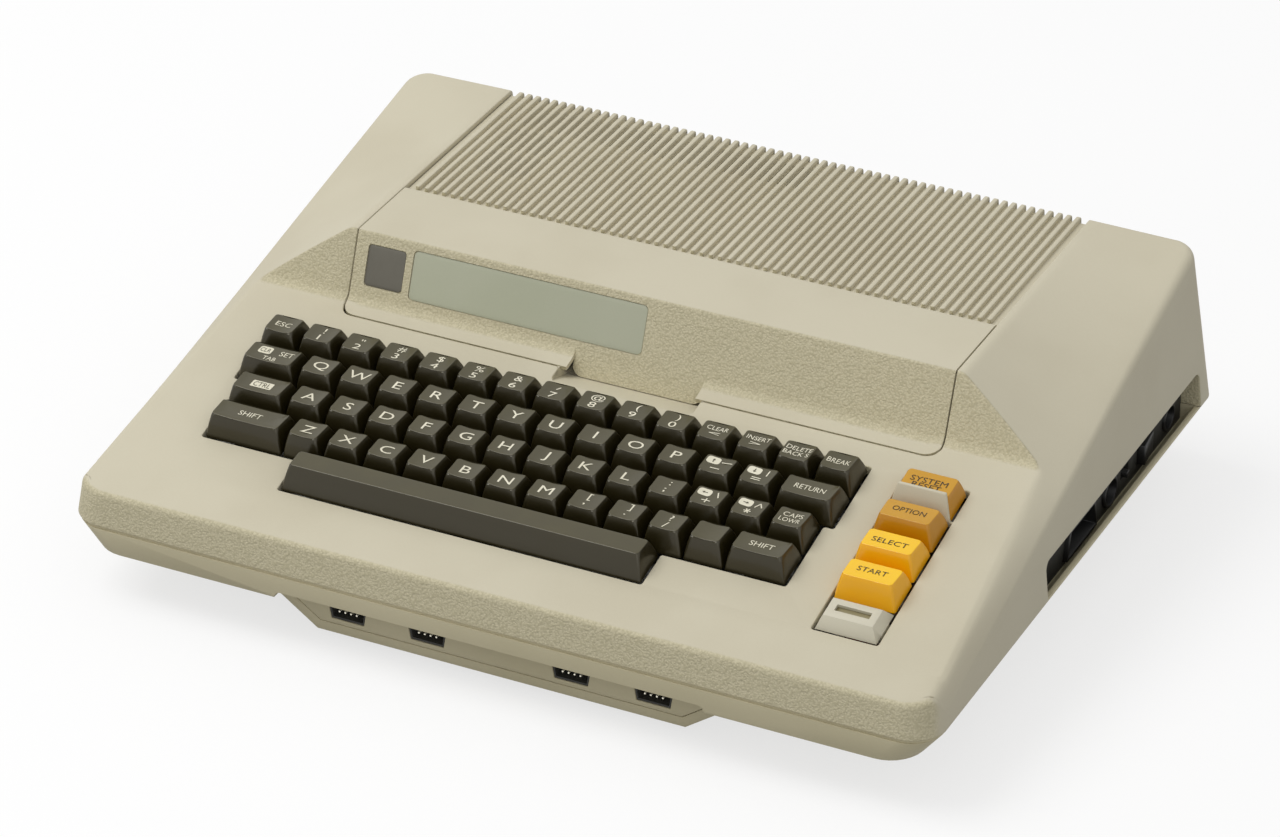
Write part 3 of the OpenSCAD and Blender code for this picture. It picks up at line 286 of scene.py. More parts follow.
def modified(data, *modifiers):
    """The mesh after a row of modifiers, each (type, settings)."""
    piece = linked("work", data)
    for kind, settings in modifiers:
        modifier = piece.modifiers.new(kind.title(), kind)
        for key, value in settings.items():
            setattr(modifier, key, value)
    return shown_mesh(piece)


def cut_out(data, cutter):
    """The mesh with the closed cutter's space taken out of it."""
    tool = linked("cutter", cutter)
    result = modified(data, ("BOOLEAN", {"object": tool, "operation": "DIFFERENCE"}))
    bpy.data.objects.remove(tool)
    return result


def bevel(width, segments=2, angle=35):
    """Settings of a bevel modifier on sharp edges, width in millimetres."""
    return "BEVEL", {"width": width * MM, "segments": segments, "limit_method": "ANGLE",
                     "angle_limit": math.radians(angle), "use_clamp_overlap": True}


def solidify(thickness):
    """Settings of a solidify modifier that thickens inwards, in millimetres."""
    return "SOLIDIFY", {"thickness": thickness * MM, "offset": -1, "use_even_offset": True}


def softened(node, width, segments=2, angle=30):
    """A copy of a CAD node's mesh with its sharp edges rounded."""
    data = frame["nodes"][node].data.copy()
    with edited(data) as work:
        bmesh.ops.remove_doubles(work, verts=work.verts, dist=0.002 * MM)
        bmesh.ops.dissolve_limit(work, angle_limit=math.radians(1), verts=work.verts, edges=work.edges)
    return modified(data, bevel(width, segments, angle))


def joined(name, *parts):
    """One mesh of several, each given with the number of its finish, or None to keep its own."""
    result = bpy.data.meshes.new(name)
    with edited(result) as work:
        for data, finish in parts:
            start = len(work.faces)
            work.from_mesh(data)
            work.faces.ensure_lookup_table()
            for face in work.faces[start:] if finish is not None else []:
                face.material_index = finish
    return result


def repeat_tree():
    """Geometry Nodes that set copies of a shape on a line and make one mesh of them."""
    tree = bpy.data.node_groups.new("repeat", "GeometryNodeTree")
    for name, kind in (("Shape", "Object"), ("Count", "Int"), ("Step", "Vector"),
                       ("Finish", "Material")):
        tree.interface.new_socket(name, in_out="INPUT", socket_type="NodeSocket" + kind)
    tree.interface.new_socket("Geometry", in_out="OUTPUT", socket_type="NodeSocketGeometry")
    given, line, shape, copies, real, paint, out = (tree.nodes.new(kind) for kind in (
        "NodeGroupInput", "GeometryNodeMeshLine", "GeometryNodeObjectInfo",
        "GeometryNodeInstanceOnPoints", "GeometryNodeRealizeInstances", "GeometryNodeSetMaterial",
        "NodeGroupOutput"))
    line.mode = "OFFSET"
    for source, target in (
            (given.outputs["Count"], line.inputs["Count"]),
            (given.outputs["Step"], line.inputs["Offset"]),
            (given.outputs["Shape"], shape.inputs["Object"]),
            (line.outputs["Mesh"], copies.inputs["Points"]),
            (shape.outputs["Geometry"], copies.inputs["Instance"]),
            (copies.outputs["Instances"], real.inputs["Geometry"]),
            (real.outputs["Geometry"], paint.inputs["Geometry"]),
            (given.outputs["Finish"], paint.inputs["Material"]),
            (paint.outputs["Geometry"], out.inputs["Geometry"])):
        tree.links.new(source, target)
    return tree


def repeated(data, count, step, finish):
    """One mesh of count copies, each a step in millimetres on from the last."""
    shape, host = linked("shape", data), linked("host", bpy.data.meshes.new("host"))
    modifier = host.modifiers.new("repeat", "NODES")
    modifier.node_group = REPEAT
    given = {"Shape": shape, "Count": count, "Step": Vector(step) * MM, "Finish": finish}
    for item in REPEAT.interface.items_tree:
        if item.in_out == "INPUT":
            modifier[item.identifier] = given[item.name]
    result = shown_mesh(host)
    bpy.data.objects.remove(shape)
    return result


def tube_mesh(rows, weld=0.002):
    """The mesh of one closed tube through rows of points in millimetres."""
    skin = Skin()
    skin.tube(rows)
    return skin.mesh("tube", weld=weld)


def block(corners, low, high, place=lambda *p: p):
    """A closed block over four corners, between two heights of the frame that place maps from."""
    return tube_mesh([[place(*c, z) for c in corners] for z in (low, high)], 0.0)


def text_mesh(words):
    """The mesh of one line of text, of the font's own size."""
    curve = bpy.data.curves.new("text", "FONT")
    curve.body = words
    curve.align_x = "CENTER"
    curve.resolution_u = 3
    return shown_mesh(linked("text", curve))


def reach(data, axis):
    """Lowest and highest coordinate of a mesh along an axis."""
    values = [v.co[axis] for v in data.vertices]
    return min(values), max(values)


def flat_text(words, height, width=None, stretch=LETTER_STRETCH):
    """Points and faces of one line of text, centred, its capitals of the height."""
    data = text_mesh(words)
    size = height / CAPITAL
    (left, right), (low, high) = reach(data, 0), reach(data, 1)
    across = width / (right - left) if width else size * stretch
    centre, middle = (left + right) / 2, (low + high) / 2
    points = [Vector(((v.co.x - centre) * across, (v.co.y - middle) * size, 0))
              for v in data.vertices]
    return points, [list(f.vertices) for f in data.polygons]


REPEAT = repeat_tree()
CAPITAL_FOOT, CAPITAL_TOP = reach(text_mesh("H"), 1)
CAPITAL = CAPITAL_TOP - CAPITAL_FOOT


# ---------------------------------------------------------------- finishes
class Wire:
    """A shader value that takes part in sums, so that node maths reads as maths."""

    def __init__(self, graph, socket):
        self.graph, self.socket = graph, socket

    def maths(self, operation, *values):
        return self.graph.node("ShaderNodeMath", {"operation": operation}, *values)

    def __add__(self, other):
        return self.maths("ADD", self, other)

    def __sub__(self, other):
        return self.maths("SUBTRACT", self, other)

    def __rsub__(self, other):
        return self.maths("SUBTRACT", other, self)

    def __mul__(self, other):
        return self.maths("MULTIPLY", self, other)

    __radd__, __rmul__ = __add__, __mul__

    def clamp(self):
        return self.maths("MAXIMUM", self.maths("MINIMUM", self, 1.0), 0.0)

    def ramp(self, low, high):
        """0 below low and 1 above high, smooth between."""
        return self.graph.node("ShaderNodeMapRange", {"interpolation_type": "SMOOTHSTEP"},
                               self, float(low), float(high), 0.0, 1.0)


class Finish:
    """Builds one material's nodes."""

    def __init__(self, name, owner=None):
        self.material = owner or bpy.data.materials.new(name)
        self.material.use_nodes = True
        self.tree = self.material.node_tree
        self.shader = self.tree.nodes.get("Principled BSDF")
        self.place = self.node("ShaderNodeTexCoord", {}, output="Object")

    def node(self, kind, settings, *values, output=0, **named):
        node = self.tree.nodes.new(kind)
        for key, value in settings.items():
            setattr(node, key, value)
        for key, value in [*enumerate(values), *named.items()]:
            socket = node.inputs[key.replace("_", " ") if isinstance(key, str) else key]
            self.give(socket, value)
        return Wire(self, node.outputs[output])

    def give(self, socket, value):
        if isinstance(value, Wire):
            self.tree.links.new(value.socket, socket)
        elif value is not None:
            socket.default_value = value

    def noise(self, scale, detail=2.0, roughness=0.5):
        """Noise with that many cells a metre."""
        return self.node("ShaderNodeTexNoise", {}, Vector=self.place, Scale=scale, Detail=detail,
                         Roughness=roughness)

    def facing(self, direction):
        """How much the surface looks in a direction of its object."""
        looks = self.node("ShaderNodeTexCoord", {}, output="Normal")
        return self.node("ShaderNodeVectorMath", {"operation": "DOT_PRODUCT"}, looks, direction,
                         output="Value")

    def seen(self):
        """1 for what the camera or a mirror sees, and 0 for light that falls on."""
        camera, glossy, through = (self.node("ShaderNodeLightPath", {}, output=name) for name in (
            "Is Camera Ray", "Is Glossy Ray", "Is Transmission Ray"))
        return (camera + glossy + through).clamp()

    def mix(self, factor, a, b):
        """Colour between a and b."""
        node = self.tree.nodes.new("ShaderNodeMix")
        node.data_type = "RGBA"
        self.give(node.inputs[0], factor)
        self.give(node.inputs[6], a)
        self.give(node.inputs[7], b)
        return Wire(self, node.outputs[2])

    def bump(self, height, strength, distance):
        """Normal that a height pattern gives, distance in millimetres."""
        return self.node("ShaderNodeBump", {}, Strength=strength, Distance=distance * MM, Height=height)

    def show(self, shader):
        """Makes a shader the one that the output takes."""
        output = next(node for node in self.tree.nodes if node.type.startswith("OUTPUT"))
        self.give(output.inputs["Surface"], shader)

    def paint(self, **sockets):
        for key, value in sockets.items():
            self.give(self.shader.inputs[key.replace("_", " ")], value)
        return self.material


def colour(r, g, b):
    """Linear colour of an sRGB value given as 0 to 255."""
    def linear(v):
        v /= 255
        return v / 12.92 if v < 0.04045 else ((v + 0.055) / 1.055) ** 2.4
    return (linear(r), linear(g), linear(b), 1.0)


def moulded(name, base, shade, roughness=0.5, grain=0.35, grain_mm=0.5, leather=0.0, **fixed):
    """Moulded plastic: slow colour drift, a fine matte grain and, if asked for, a leather grain whose
    pebble pattern also carries painted shade.
    """
    f = Finish(name)
    base, shade = colour(*base), colour(*shade)
    drift = f.noise(14.0, 3.0).ramp(0.35, 0.65)
    speck = f.noise(900.0, 2.0)
    fine = f.noise(1000.0 / grain_mm, 3.0, 0.6)
    tone = f.mix(drift * 0.5 + speck * 0.3, base, shade)
    height = fine * grain
    if leather:
        cells = f.node("ShaderNodeTexVoronoi", {"feature": "SMOOTH_F1"}, Vector=f.place,
                       Scale=LEATHER_CELLS, output="Distance")
        pebbles = cells * 1.2 + f.noise(LEATHER_CELLS * 1.3, 3.0, 0.6)
        mask = f.facing((0.0, -1.0, 0.0)).ramp(0.3, 0.62)
        height = height + pebbles * mask * leather
        tone = f.mix(mask * 0.75, tone, LEATHER_TONE)
        # Painted shade: the leather grain's pattern is painted darker along the pebbles' borders.
        tone = f.mix(pebbles.ramp(0.75, 1.25) * mask * 0.45, tone, LEATHER_PAINTED_SHADE)
    return f.paint(Base_Color=tone, Roughness=fine * 0.12 + (roughness - 0.06),
                   Normal=f.bump(height, 0.8, 0.14), **fixed)


def key_finish(name, top, side, roughness=0.34):
    """Semi-gloss key plastic, with painted light: the faces that look up are painted a little lighter than
    the sides.
    """
    f = Finish(name)
    # Painted light: faces that look up take the top colour, painted lighter than the side colour, in
    # patches of changing strength.
    painted_top_light = f.facing((0.0, 0.0, 1.0)).ramp(0.8, 0.97)
    sheen_patches = f.noise(60.0, 3.0).ramp(0.3, 0.8)
    speck = f.noise(1800.0, 2.0)
    tone = f.mix(painted_top_light * (0.75 + sheen_patches * 0.25), colour(*side), colour(*top))
    return f.paint(Base_Color=tone, Roughness=sheen_patches * 0.08 + speck * 0.08 + (roughness - 0.08),
                   Normal=f.bump(speck, 0.2, 0.04), Specular_Tint=(1.0, 0.93, 0.74, 1.0),
                   Coat_Weight=0.28, Coat_Roughness=0.1)


def metal(name, base, roughness, brushed=0.0):
    """Plated or brushed metal with fine scratches."""
    f = Finish(name)
    base = colour(*base)
    streak = f.node("ShaderNodeTexNoise", {}, Scale=90.0, Detail=4.0, Vector=f.node(
        "ShaderNodeMapping", {}, f.place, Scale=(4.0, 40.0, 40.0)))
    haze = f.noise(120.0, 3.0)
    return f.paint(Base_Color=f.mix(haze * 0.3, base, (base[0] * 0.8, base[1] * 0.8, base[2] * 0.8, 1)),
                   Metallic=1.0, Roughness=haze * 0.15 + (roughness - 0.05),
                   Normal=f.bump(streak, 0.15 + brushed, 0.05))


CASE_LIGHT, CASE_SHADE = (206, 199, 176), (196, 188, 164)
LEATHER_CELLS = 1050.0
# The leather's second colour is painted shade, laid along the grain's pebble borders.
LEATHER_TONE, LEATHER_PAINTED_SHADE = colour(206, 197, 164), colour(168, 160, 126)
CASE = moulded("case_grain", CASE_LIGHT, CASE_SHADE, 0.62, leather=2.6)
CASE_PLAIN = moulded("case_fine_grain", CASE_LIGHT, CASE_SHADE, 0.62)
CASE_BOTTOM = moulded("case_bottom_grain", (204, 195, 164), (193, 184, 151), 0.62)
# Each key finish has a top colour and a side colour; the tops' extra lightness is painted light.
KEY_DARK = key_finish("key_brown", (64, 59, 32), (33, 28, 9))
KEY_AMBER = key_finish("key_amber", (204, 150, 20), (190, 130, 0))
KEY_YELLOW = key_finish("key_yellow", (255, 206, 0), (242, 176, 0))
LENS = moulded("lens_cream", (212, 207, 188), (202, 196, 174), 0.45)
WINDOW = moulded("lens_window", (150, 140, 106), (138, 128, 96), 0.35)
LED = moulded("led_red", (170, 40, 25), (130, 25, 15), 0.25)
INK_LIGHT = moulded("legend_cream", (236, 231, 210), (220, 214, 190), 0.5)
INK_DARK = moulded("legend_brown", (62, 46, 16), (54, 38, 12), 0.5)
SAGE = moulded("plate_sage", (182, 184, 162), (172, 175, 150), 0.5)
BADGE = metal("badge_brushed", (110, 107, 98), 0.5, 0.2)
BLACK = moulded("plastic_black", (34, 34, 32), (24, 24, 22), 0.5)
SOCKET = moulded("socket_black", (20, 20, 20), (13, 13, 13), 0.42)
PANEL_DARK = moulded("panel_charcoal", (44, 43, 38), (32, 31, 27), 0.6)
BAY = moulded("bay_brown", (86, 82, 72), (72, 68, 60), 0.6)
RUBBER = moulded("rubber_grey", (30, 30, 30), (22, 22, 22), 0.85)
BOARD = moulded("board_green", (38, 92, 52), (26, 70, 38), 0.4)
FILM = moulded("film_blue", (52, 82, 140), (40, 66, 120), 0.35)
RED = moulded("plunger_red", (176, 58, 36), (150, 46, 28), 0.5)
ZINC = metal("steel_zinc", (176, 176, 172), 0.38)
CAST = metal("metal_cast", (160, 160, 157), 0.55)
PIN_TIP = metal("pins_bright", (250, 246, 230), 0.5)
PLATED = metal("pins_plated", (226, 218, 186), 0.25)


# ---------------------------------------------------------------- camera, lamps and floor
FLOOR_TONE, FLOOR_GLOW, FLOOR_HALF = (0.35, 0.35, 0.35, 1.0), 0.7, 6000
SKY_LIGHT = 0.55
CAMERA_PLACE, CAMERA_LENS = (0.8922, -1.8198, 1.2568), 151.8
CAMERA_RIGHT, CAMERA_UP = (0.8978, 0.4404, -0.0036), (-0.2220, 0.4596, 0.8599)
LAMP_AIM = (0, 0, 0.06)


def make_camera():
    """The camera stands in front, to the right and above."""
    right = Vector(CAMERA_RIGHT)
    back = right.cross(Vector(CAMERA_UP)).normalized()
    data = bpy.data.cameras.new("camera")
    data.sensor_width, data.lens, data.clip_end = 36, CAMERA_LENS, 20
    camera = linked("camera", data)
    turn = Matrix((right, back.cross(right), back)).transposed().to_4x4()
    camera.matrix_world = Matrix.Translation(CAMERA_PLACE) @ turn
    bpy.context.scene.camera = camera


def make_lamp(name, place, size, power, tint=(1, 1, 1)):
    """A soft square lamp that looks at the object."""
    data = bpy.data.lights.new(name, "AREA")
    data.shape, data.size, data.energy, data.color = "SQUARE", size, power, tint
    lamp = linked(name, data)
    lamp.location = place
    lamp.rotation_euler = (Vector(LAMP_AIM) - Vector(place)).to_track_quat("-Z", "Y").to_euler()


def make_floor():
    """A pale floor that shows white and keeps the object's shadow, and a white world."""
    f = Finish("floor_white")
    white = (1.0, 1.0, 1.0, 1.0)
    f.paint(Base_Color=f.mix(f.seen(), FLOOR_TONE, white), Roughness=1.0, Specular_IOR_Level=0.0)
    glow = f.node("ShaderNodeEmission", {}, white, 1.0)
    f.show(f.node("ShaderNodeMixShader", {}, f.seen() * FLOOR_GLOW, Wire(f, f.shader.outputs[0]), glow))
    skin = Skin()
    skin.face(skin.add([(*c, 0) for c in rect(-FLOOR_HALF, FLOOR_HALF, -FLOOR_HALF, FLOOR_HALF)]))
    data = skin.mesh("floor", up=(0, 0, 1))
    data.materials.append(f.material)
    linked("floor", data)
    world = bpy.context.scene.world = bpy.data.worlds.new("world")
    sky = Finish("sky", world)
    light, bright = (sky.node("ShaderNodeBackground", {}, white, strength)
                     for strength in (SKY_LIGHT, 1.0))
    sky.show(sky.node("ShaderNodeMixShader", {}, sky.seen(), light, bright))


# ---------------------------------------------------------------- the top moulding's surface
def side_x(z):
    return CASE_W / 2 - (z - SEAM_Z) * SIDE_LEAN


def front_y(z):
    return -CASE_D / 2 + (z - SEAM_Z) * FRONT_LEAN


def rear_y(z):
    return CASE_D / 2 - (z - SEAM_Z) * REAR_LEAN


def deck_z(y):
    return DECK_FRONT_Z + (y - DECK_FRONT_Y) * math.tan(DECK)


def edge_z(y):
    """Height of the side edge that runs from the rear top corner to the front."""
    return CASE_H - (rear_y(CASE_H) - y) * EDGE_SLOPE


FOOT_Y = (deck_z(0) - CASE_H) / (math.tan(BROW) - math.tan(DECK))
FOOT_Z = deck_z(FOOT_Y)
REAR_TOP_Y = rear_y(CASE_H)
LIP_Y = FOOT_Y - LIP_L * math.cos(DECK)
MIDDLE = arc_path([(DECK_FRONT_Y - 5, deck_z(DECK_FRONT_Y - 5)), (FOOT_Y, FOOT_Z), (0, CASE_H),
                   (REAR_TOP_Y + 5, CASE_H)], [COVE_R, BROW_EDGE_R], 7)


def middle_z(y):
    """Height of the case along its middle line."""
    for a, b in zip(MIDDLE, MIDDLE[1:]):
        if y <= b.x:
            return lerp(a.y, b.y, (y - a.x) / (b.x - a.x))
    return CASE_H


def outer_line(y):
    """Start and end, in X and Z, of the sloping face beside the deck or the hump."""
    end = (side_x(edge_z(y)), edge_z(y))
    if y > FOOT_Y:
        return (SHOULDER_X, CASE_H), end
    ze = edge_z(FOOT_Y)
    tip = lerp(SHOULDER_X, side_x(ze), (CASE_H - FOOT_Z) / (CASE_H - ze))
    f = (FOOT_Y - y) / (FOOT_Y - DECK_FRONT_Y)
    return (lerp(tip, CREASE_FRONT_X, f), deck_z(y)), end


def crease_x(y):
    """Where the middle surface meets the sloping face."""
    (xi, zi), (xe, ze) = outer_line(y)
    return lerp(xi, xe, (zi - middle_z(y)) / (zi - ze)) if zi > ze + 0.01 else xi


def shell_z(x, y):
    """Height of the top moulding over a point, with its creases blended."""
    (xi, zi), (xe, ze) = outer_line(y)
    f = (abs(x) - xi) / (xe - xi)
    slope = (zi - ze) / (xe - xi)
    belly = 1.3 * min(max((FOOT_Y - y) / 50, 0), 1) * 4 * f * (1 - f) if 0 < f < 1 else 0
    outer = zi + (ze - zi) * f + belly
    middle = middle_z(y)
    blend = max(1.6 * slope, 0.02)
    near = max(blend - abs(outer - middle), 0) / blend
    return min(outer, middle) - near * near * blend / 4


def wall_line(kind, value):
    """The wall's line for a place on the outline, as a function of z, and its outward direction."""
    if kind == "side":
        return (lambda z: Vector((side_x(z), value, z))), Vector((1, 0, 0))
    wall_y, sign, radius = (front_y, -1, FRONT_R) if kind.startswith("front") else (rear_y, 1, REAR_R)
    if not kind.endswith("_corner"):
        return (lambda z: Vector((value, wall_y(z), z))), Vector((0, sign, 0))
    out = Vector((math.cos(value), sign * math.sin(value), 0))
    return (lambda z: Vector((side_x(z) - radius, wall_y(z) - sign * radius, z)) + radius * out), out


def outline_column(kind, value):
    """Points from the top surface over the rounded edge to the wall, at one place on the outline."""
    line, out = wall_line(kind, value)
    radius = edge_radius(kind, value)
    z = 60.0
    for _ in range(40):
        p = line(z)
        z = shell_z(p.x, p.y)
    corner = line(z)
    inside = corner - out * 2.0
    slope = (corner.z - shell_z(inside.x, inside.y)) / 2.0
    along = (out + Vector((0, 0, slope))).normalized()
    down = (line(z - 1) - corner).normalized()
    turn = along.angle(down)
    trim = radius * math.tan(turn / 2)
    start = corner - out * trim * math.hypot(along.x, along.y)
    start.z = shell_z(start.x, start.y)
    end = corner + down * trim
    weight = math.cos(turn / 2)
    column = []
    for f in spread(0, 1, EDGE_STEPS):
        a, b, c = (1 - f) ** 2, 2 * f * (1 - f) * weight, f * f
        column.append((start * a + corner * b + end * c) / (a + b + c))
    return column


def wall_down(kind, value, column):
    """The rest of a column: down the wall to the seam, and round its lower edge."""
    line, out = wall_line(kind, value)
    foot = line(SEAM_Z)
    points = [line(z) for z in spread(column[-1].z, SEAM_Z + FOOT_R, WALL_LEVELS)]
    for k in range(1, 4):
        a = math.radians(30 * k)
        points.append(foot + FOOT_R * (Vector((0, 0, 1 - math.sin(a))) - out * (1 - math.cos(a))))
    points.append(foot - out * WALL)
    points.append(line(SEAM_Z + 10) - out * WALL)
    return points


def mirrored(points):
    return [Vector((-p.x, p.y, p.z)) for p in points]


EDGE_RADII = {"side": 5.0, "front": 3.2, "rear": 2.6}
OPEN_EDGE = GAP / 2 + 0.2
Y_OPEN = LIP_Y - GAP - OPEN_EDGE
DECK_X = 170


def open_x(y):
    """Half width of the surface's inner border: deck filling in front, the opening behind."""
    if y < Y_OPEN - 0.4:
        return DECK_X
    return OPEN_X + OPEN_EDGE - corner_gap(y - Y_OPEN)


def corner_gap(depth):
    """How far the opening's round corner stays inside its side, at a depth behind its front edge."""
    left = OPEN_CORNER_R - min(max(depth, 0), OPEN_CORNER_R)
    return OPEN_CORNER_R - math.sqrt(OPEN_CORNER_R ** 2 - left ** 2)


def row_places():
    """The Y of each straight row of the surface, from the front corner to the rear corner."""
    cove = [p.x for p in MIDDLE[1:-1]]
    brow = spread(cove[7], cove[8], 7)[1:-1]
    deck = [-136, -120, -100, -80, -60, -44, -32, Y_OPEN - 1]
    lip = [Y_OPEN + dy for dy in (0, 0.25, 0.8, 1.7, 2.9)]
    top = [3, 5, 9, 16, 26, 40, 55, 72, 90, 108, 124, 134]
    return sorted([*deck, *lip, *cove, *brow, *top])


def edge_radius(kind, value):
    """Radius of the edge round the top, which changes along the corners."""
    if kind in EDGE_RADII:
        return EDGE_RADII[kind]
    return lerp(EDGE_RADII["side"], EDGE_RADII[kind.split("_")[0]], value / (math.pi / 2))


def make_surface():
    """Right half of the top moulding: its grid of points, and its outline columns by border."""
    rows = row_places()
    quarter = math.pi / 4
    assert front_y(52) + FRONT_R < rows[0] and rows[-1] < rear_y(110) - REAR_R

    def border(*stretches):
        return [(kind, value, outline_column(kind, value)) for kind, values in stretches
                for value in values]

    def end_border(kind, x0, x1):
        return border((kind, spread(x0, x1 - 0.5, END_STEPS)),
                      (kind + "_corner", spread(2 * quarter, quarter, COLUMNS - END_STEPS - 1)))

    side = border(("front_corner", spread(quarter, 0, CORNER_STEPS)), ("side", rows),
                  ("rear_corner", spread(0, quarter, CORNER_STEPS)))
    front = end_border("front", DECK_X, side_x(52) - FRONT_R)
    rear = end_border("rear", open_x(100), side_x(CASE_H) - REAR_R)
    full = [row_points(y, side[CORNER_STEPS + 1 + j][2][0]) for j, y in enumerate(rows)]
    lead = blend_rows([c[2][0] for c in front], full[0], [c[2][0] for c in side[:CORNER_STEPS + 2]])
    tail = blend_rows([c[2][0] for c in rear], full[-1],
                      [c[2][0] for c in side[:-CORNER_STEPS - 3:-1]])
    return lead[:-1] + full + tail[-2::-1], side, front, rear


def row_points(y, end):
    """One straight row of the surface, close together at its crease."""
    x0, xc = open_x(y), crease_x(y)
    inner = min(2.6, (xc - x0) * 0.5)
    outer = min(2.6, (end.x - xc) * 0.4)
    stations = (x0, 3, xc - inner, 3, xc, 3, xc + outer, COLUMNS - 9, end.x)
    xs = [x for k in range(0, 8, 2) for x in spread(stations[k], stations[k + 2], stations[k + 1])[:-1]]
    return [Vector((x, y, shell_z(x, y))) for x in xs] + [end]


def blend_rows(first, last, border):
    """Rows from the outline's row to the first straight row, whose ends follow the border."""
    count = len(border) - 1
    rows = []
    for j, end in enumerate(border):
        v = j / count
        shift = end - first[-1].lerp(last[-1], v)
        row = []
        for i, (a, b) in enumerate(zip(first, last)):
            p = a.lerp(b, v) + shift * (i / (len(first) - 1)) ** 2
            row.append(Vector((p.x, p.y, shell_z(p.x, p.y))))
        row[-1] = end
        rows.append(row)
    rows[0], rows[-1] = list(first), list(last)
    return rows


def on_deck(x, y, z=0.0):
    """Point of the keyboard's own frame, X right, Y up the deck and Z out of it."""
    return Vector((x + KEYS_LEFT, KEYS_BACK + y * math.cos(DECK) - z * math.sin(DECK),
                   deck_z(KEYS_BACK) + y * math.sin(DECK) + z * math.cos(DECK)))


DECK_NORMAL = Vector((0, -math.sin(DECK), math.cos(DECK)))


def key_holes():
    """Outlines of the holes in the deck, in the keyboard's frame, anticlockwise."""
    m, k = HOLE_MARGIN, KEY
    left = [(-m, m), (-m, -2 * k - m), (0.25 * k - m, -2 * k - m), (0.25 * k - m, -4 * k - m),
            (2.75 * k - m, -4 * k - m), (2.75 * k - m, -5 * k - m)]
    right = [(11.75 * k + m, -5 * k - m), (11.75 * k + m, -4 * k - m), (14.75 * k + m, -4 * k - m),
             (14.75 * k + m, -2 * k - m), (15 * k + m, -2 * k - m), (15 * k + m, m)]
    console = rect(CONSOLE_X - m, CONSOLE_X + CONSOLE_U * k + m, -5 * k - m, m)
    return [left + right, console]


def directions(path, normals, towards, closed=True):
    """Unit directions in the surface, square to the path, on the side of the point towards."""
    n = len(path)
    result = []
    for k, normal in enumerate(normals):
        after, before = ((k + 1) % n, k - 1) if closed else (min(k + 1, n - 1), max(k - 1, 0))
        result.append((path[after] - path[before]).normalized().cross(normal).normalized())
    middle = (n - 1) // 2
    side = result[middle].dot(Vector(towards) - path[middle])
    return result if side > 0 else [-w for w in result]


def make_top_case():
    """The top moulding with its key holes, door opening and side recess."""
    skin = Skin()
    grid, side, front, rear = make_surface()
    straight = side[CORNER_STEPS + 1:-CORNER_STEPS]
    walls = [side[:CORNER_STEPS + 2], front, side[-CORNER_STEPS - 1:], rear[END_STEPS:]]
    for flip, borders in ((list, walls), (mirrored, [*walls, straight])):
        skin.strips([flip(row) for row in grid])
        for border in (side, front, rear):
            skin.strips([flip(c[2]) for c in border])
        for border in borders:
            skin.strips([flip(wall_down(*c)) for c in border])
    column = front[0][2] + wall_down(*front[0])[1:]
    skin.strips([column, mirrored(column)])
    make_deck(skin, grid)
    make_recess_wall(skin, straight)
    make_opening(skin, grid, rear)
    return skin.mesh("top_case_skin", up=(0, -100, 120))


def make_deck(skin, grid):
    """The flat deck with the key holes and the front edge of the door's opening."""
    border = [row[0] for row in grid if row[0].y < Y_OPEN + 0.01]
    outer = border + list(reversed(pocket_edge())) + list(reversed(mirrored(border)))
    holes = []
    for corners in key_holes():
        radius = 0.5
        outline = [on_deck(p.x, p.y) for p in rounded(corners, 1.2, -radius)]
        normals = [DECK_NORMAL] * len(outline)
        centre = sum(outline, Vector()) / len(outline)
        skin.lip(outline, normals, directions(outline, normals, centre), radius, WALL + 1.5)
        holes.append(outline)
    skin.fill([outer, *holes])


def pocket_edge():
    """Front edge of the opening with its finger pocket, from the left to the right."""
    x = open_x(Y_OPEN)
    px = POCKET_X + OPEN_EDGE
    py = FOOT_Y - (LIP_L + POCKET_REACH) * math.cos(DECK) - OPEN_EDGE
    path = arc_path([(-x, Y_OPEN), (-px, Y_OPEN), (-px, py), (px, py), (px, Y_OPEN), (x, Y_OPEN)],
                    [1.2, 3.5, 3.5, 1.2])
    return [Vector((p.x, p.y, deck_z(p.y))) for p in path]


def make_opening(skin, grid, rear):
    """Rounded border of the opening for the door and the vent cover, and the rear wall below it."""
    start = next(j for j, row in enumerate(grid) if row[0].y > Y_OPEN - 0.01)
    right = [row[0] for row in grid[start + 1:]]
    normals = [surface_normal(p) for p in right]
    edge = rear[0][2]
    right += edge[1:]
    for k in range(1, len(edge)):
        along = (edge[min(k + 1, len(edge) - 1)] - edge[k - 1]).normalized()
        normals.append(Vector((0, -along.z, along.y)).normalized())
    low = CASE_H - COVER_DROP - GAP - OPEN_EDGE
    rear_normal = Vector((0, math.cos(math.atan(REAR_LEAN)), math.sin(math.atan(REAR_LEAN))))
    x = right[-1].x
    across = arc_path([(x, right[-1].z), (x, low), (-x, low), (-x, right[-1].z)], [2.5, 2.5])[1:-1]
    bottom = [Vector((p.x, rear_y(p.y), p.y)) for p in across]
    front_edge = pocket_edge()
    loop = front_edge + right + bottom + list(reversed(mirrored(right)))
    flipped = [Vector((-n.x, n.y, n.z)) for n in reversed(normals)]
    loop_normals = [DECK_NORMAL] * len(front_edge) + normals + [rear_normal] * len(bottom) + flipped
    into = directions(loop, loop_normals, (0, 40, 60))
    skin.lip(loop, loop_normals, into, OPEN_EDGE, WALL)
    column = wall_down(*rear[END_STEPS])
    half = [c[2][-1] for c in rear[1:END_STEPS + 1]] + column[1:WALL_LEVELS + 1]
    skin.fill([[right[-1]] + half + list(reversed(mirrored([right[-1]] + half)))
               + list(reversed(bottom))])
    skin.strips([column[WALL_LEVELS:], mirrored(column[WALL_LEVELS:])])


def surface_normal(p):
    d = 0.05
    dx = (shell_z(p.x + d, p.y) - shell_z(p.x - d, p.y)) / (2 * d)
    dy = (shell_z(p.x, p.y + d) - shell_z(p.x, p.y - d)) / (2 * d)
    return Vector((-dx, -dy, 1)).normalized()


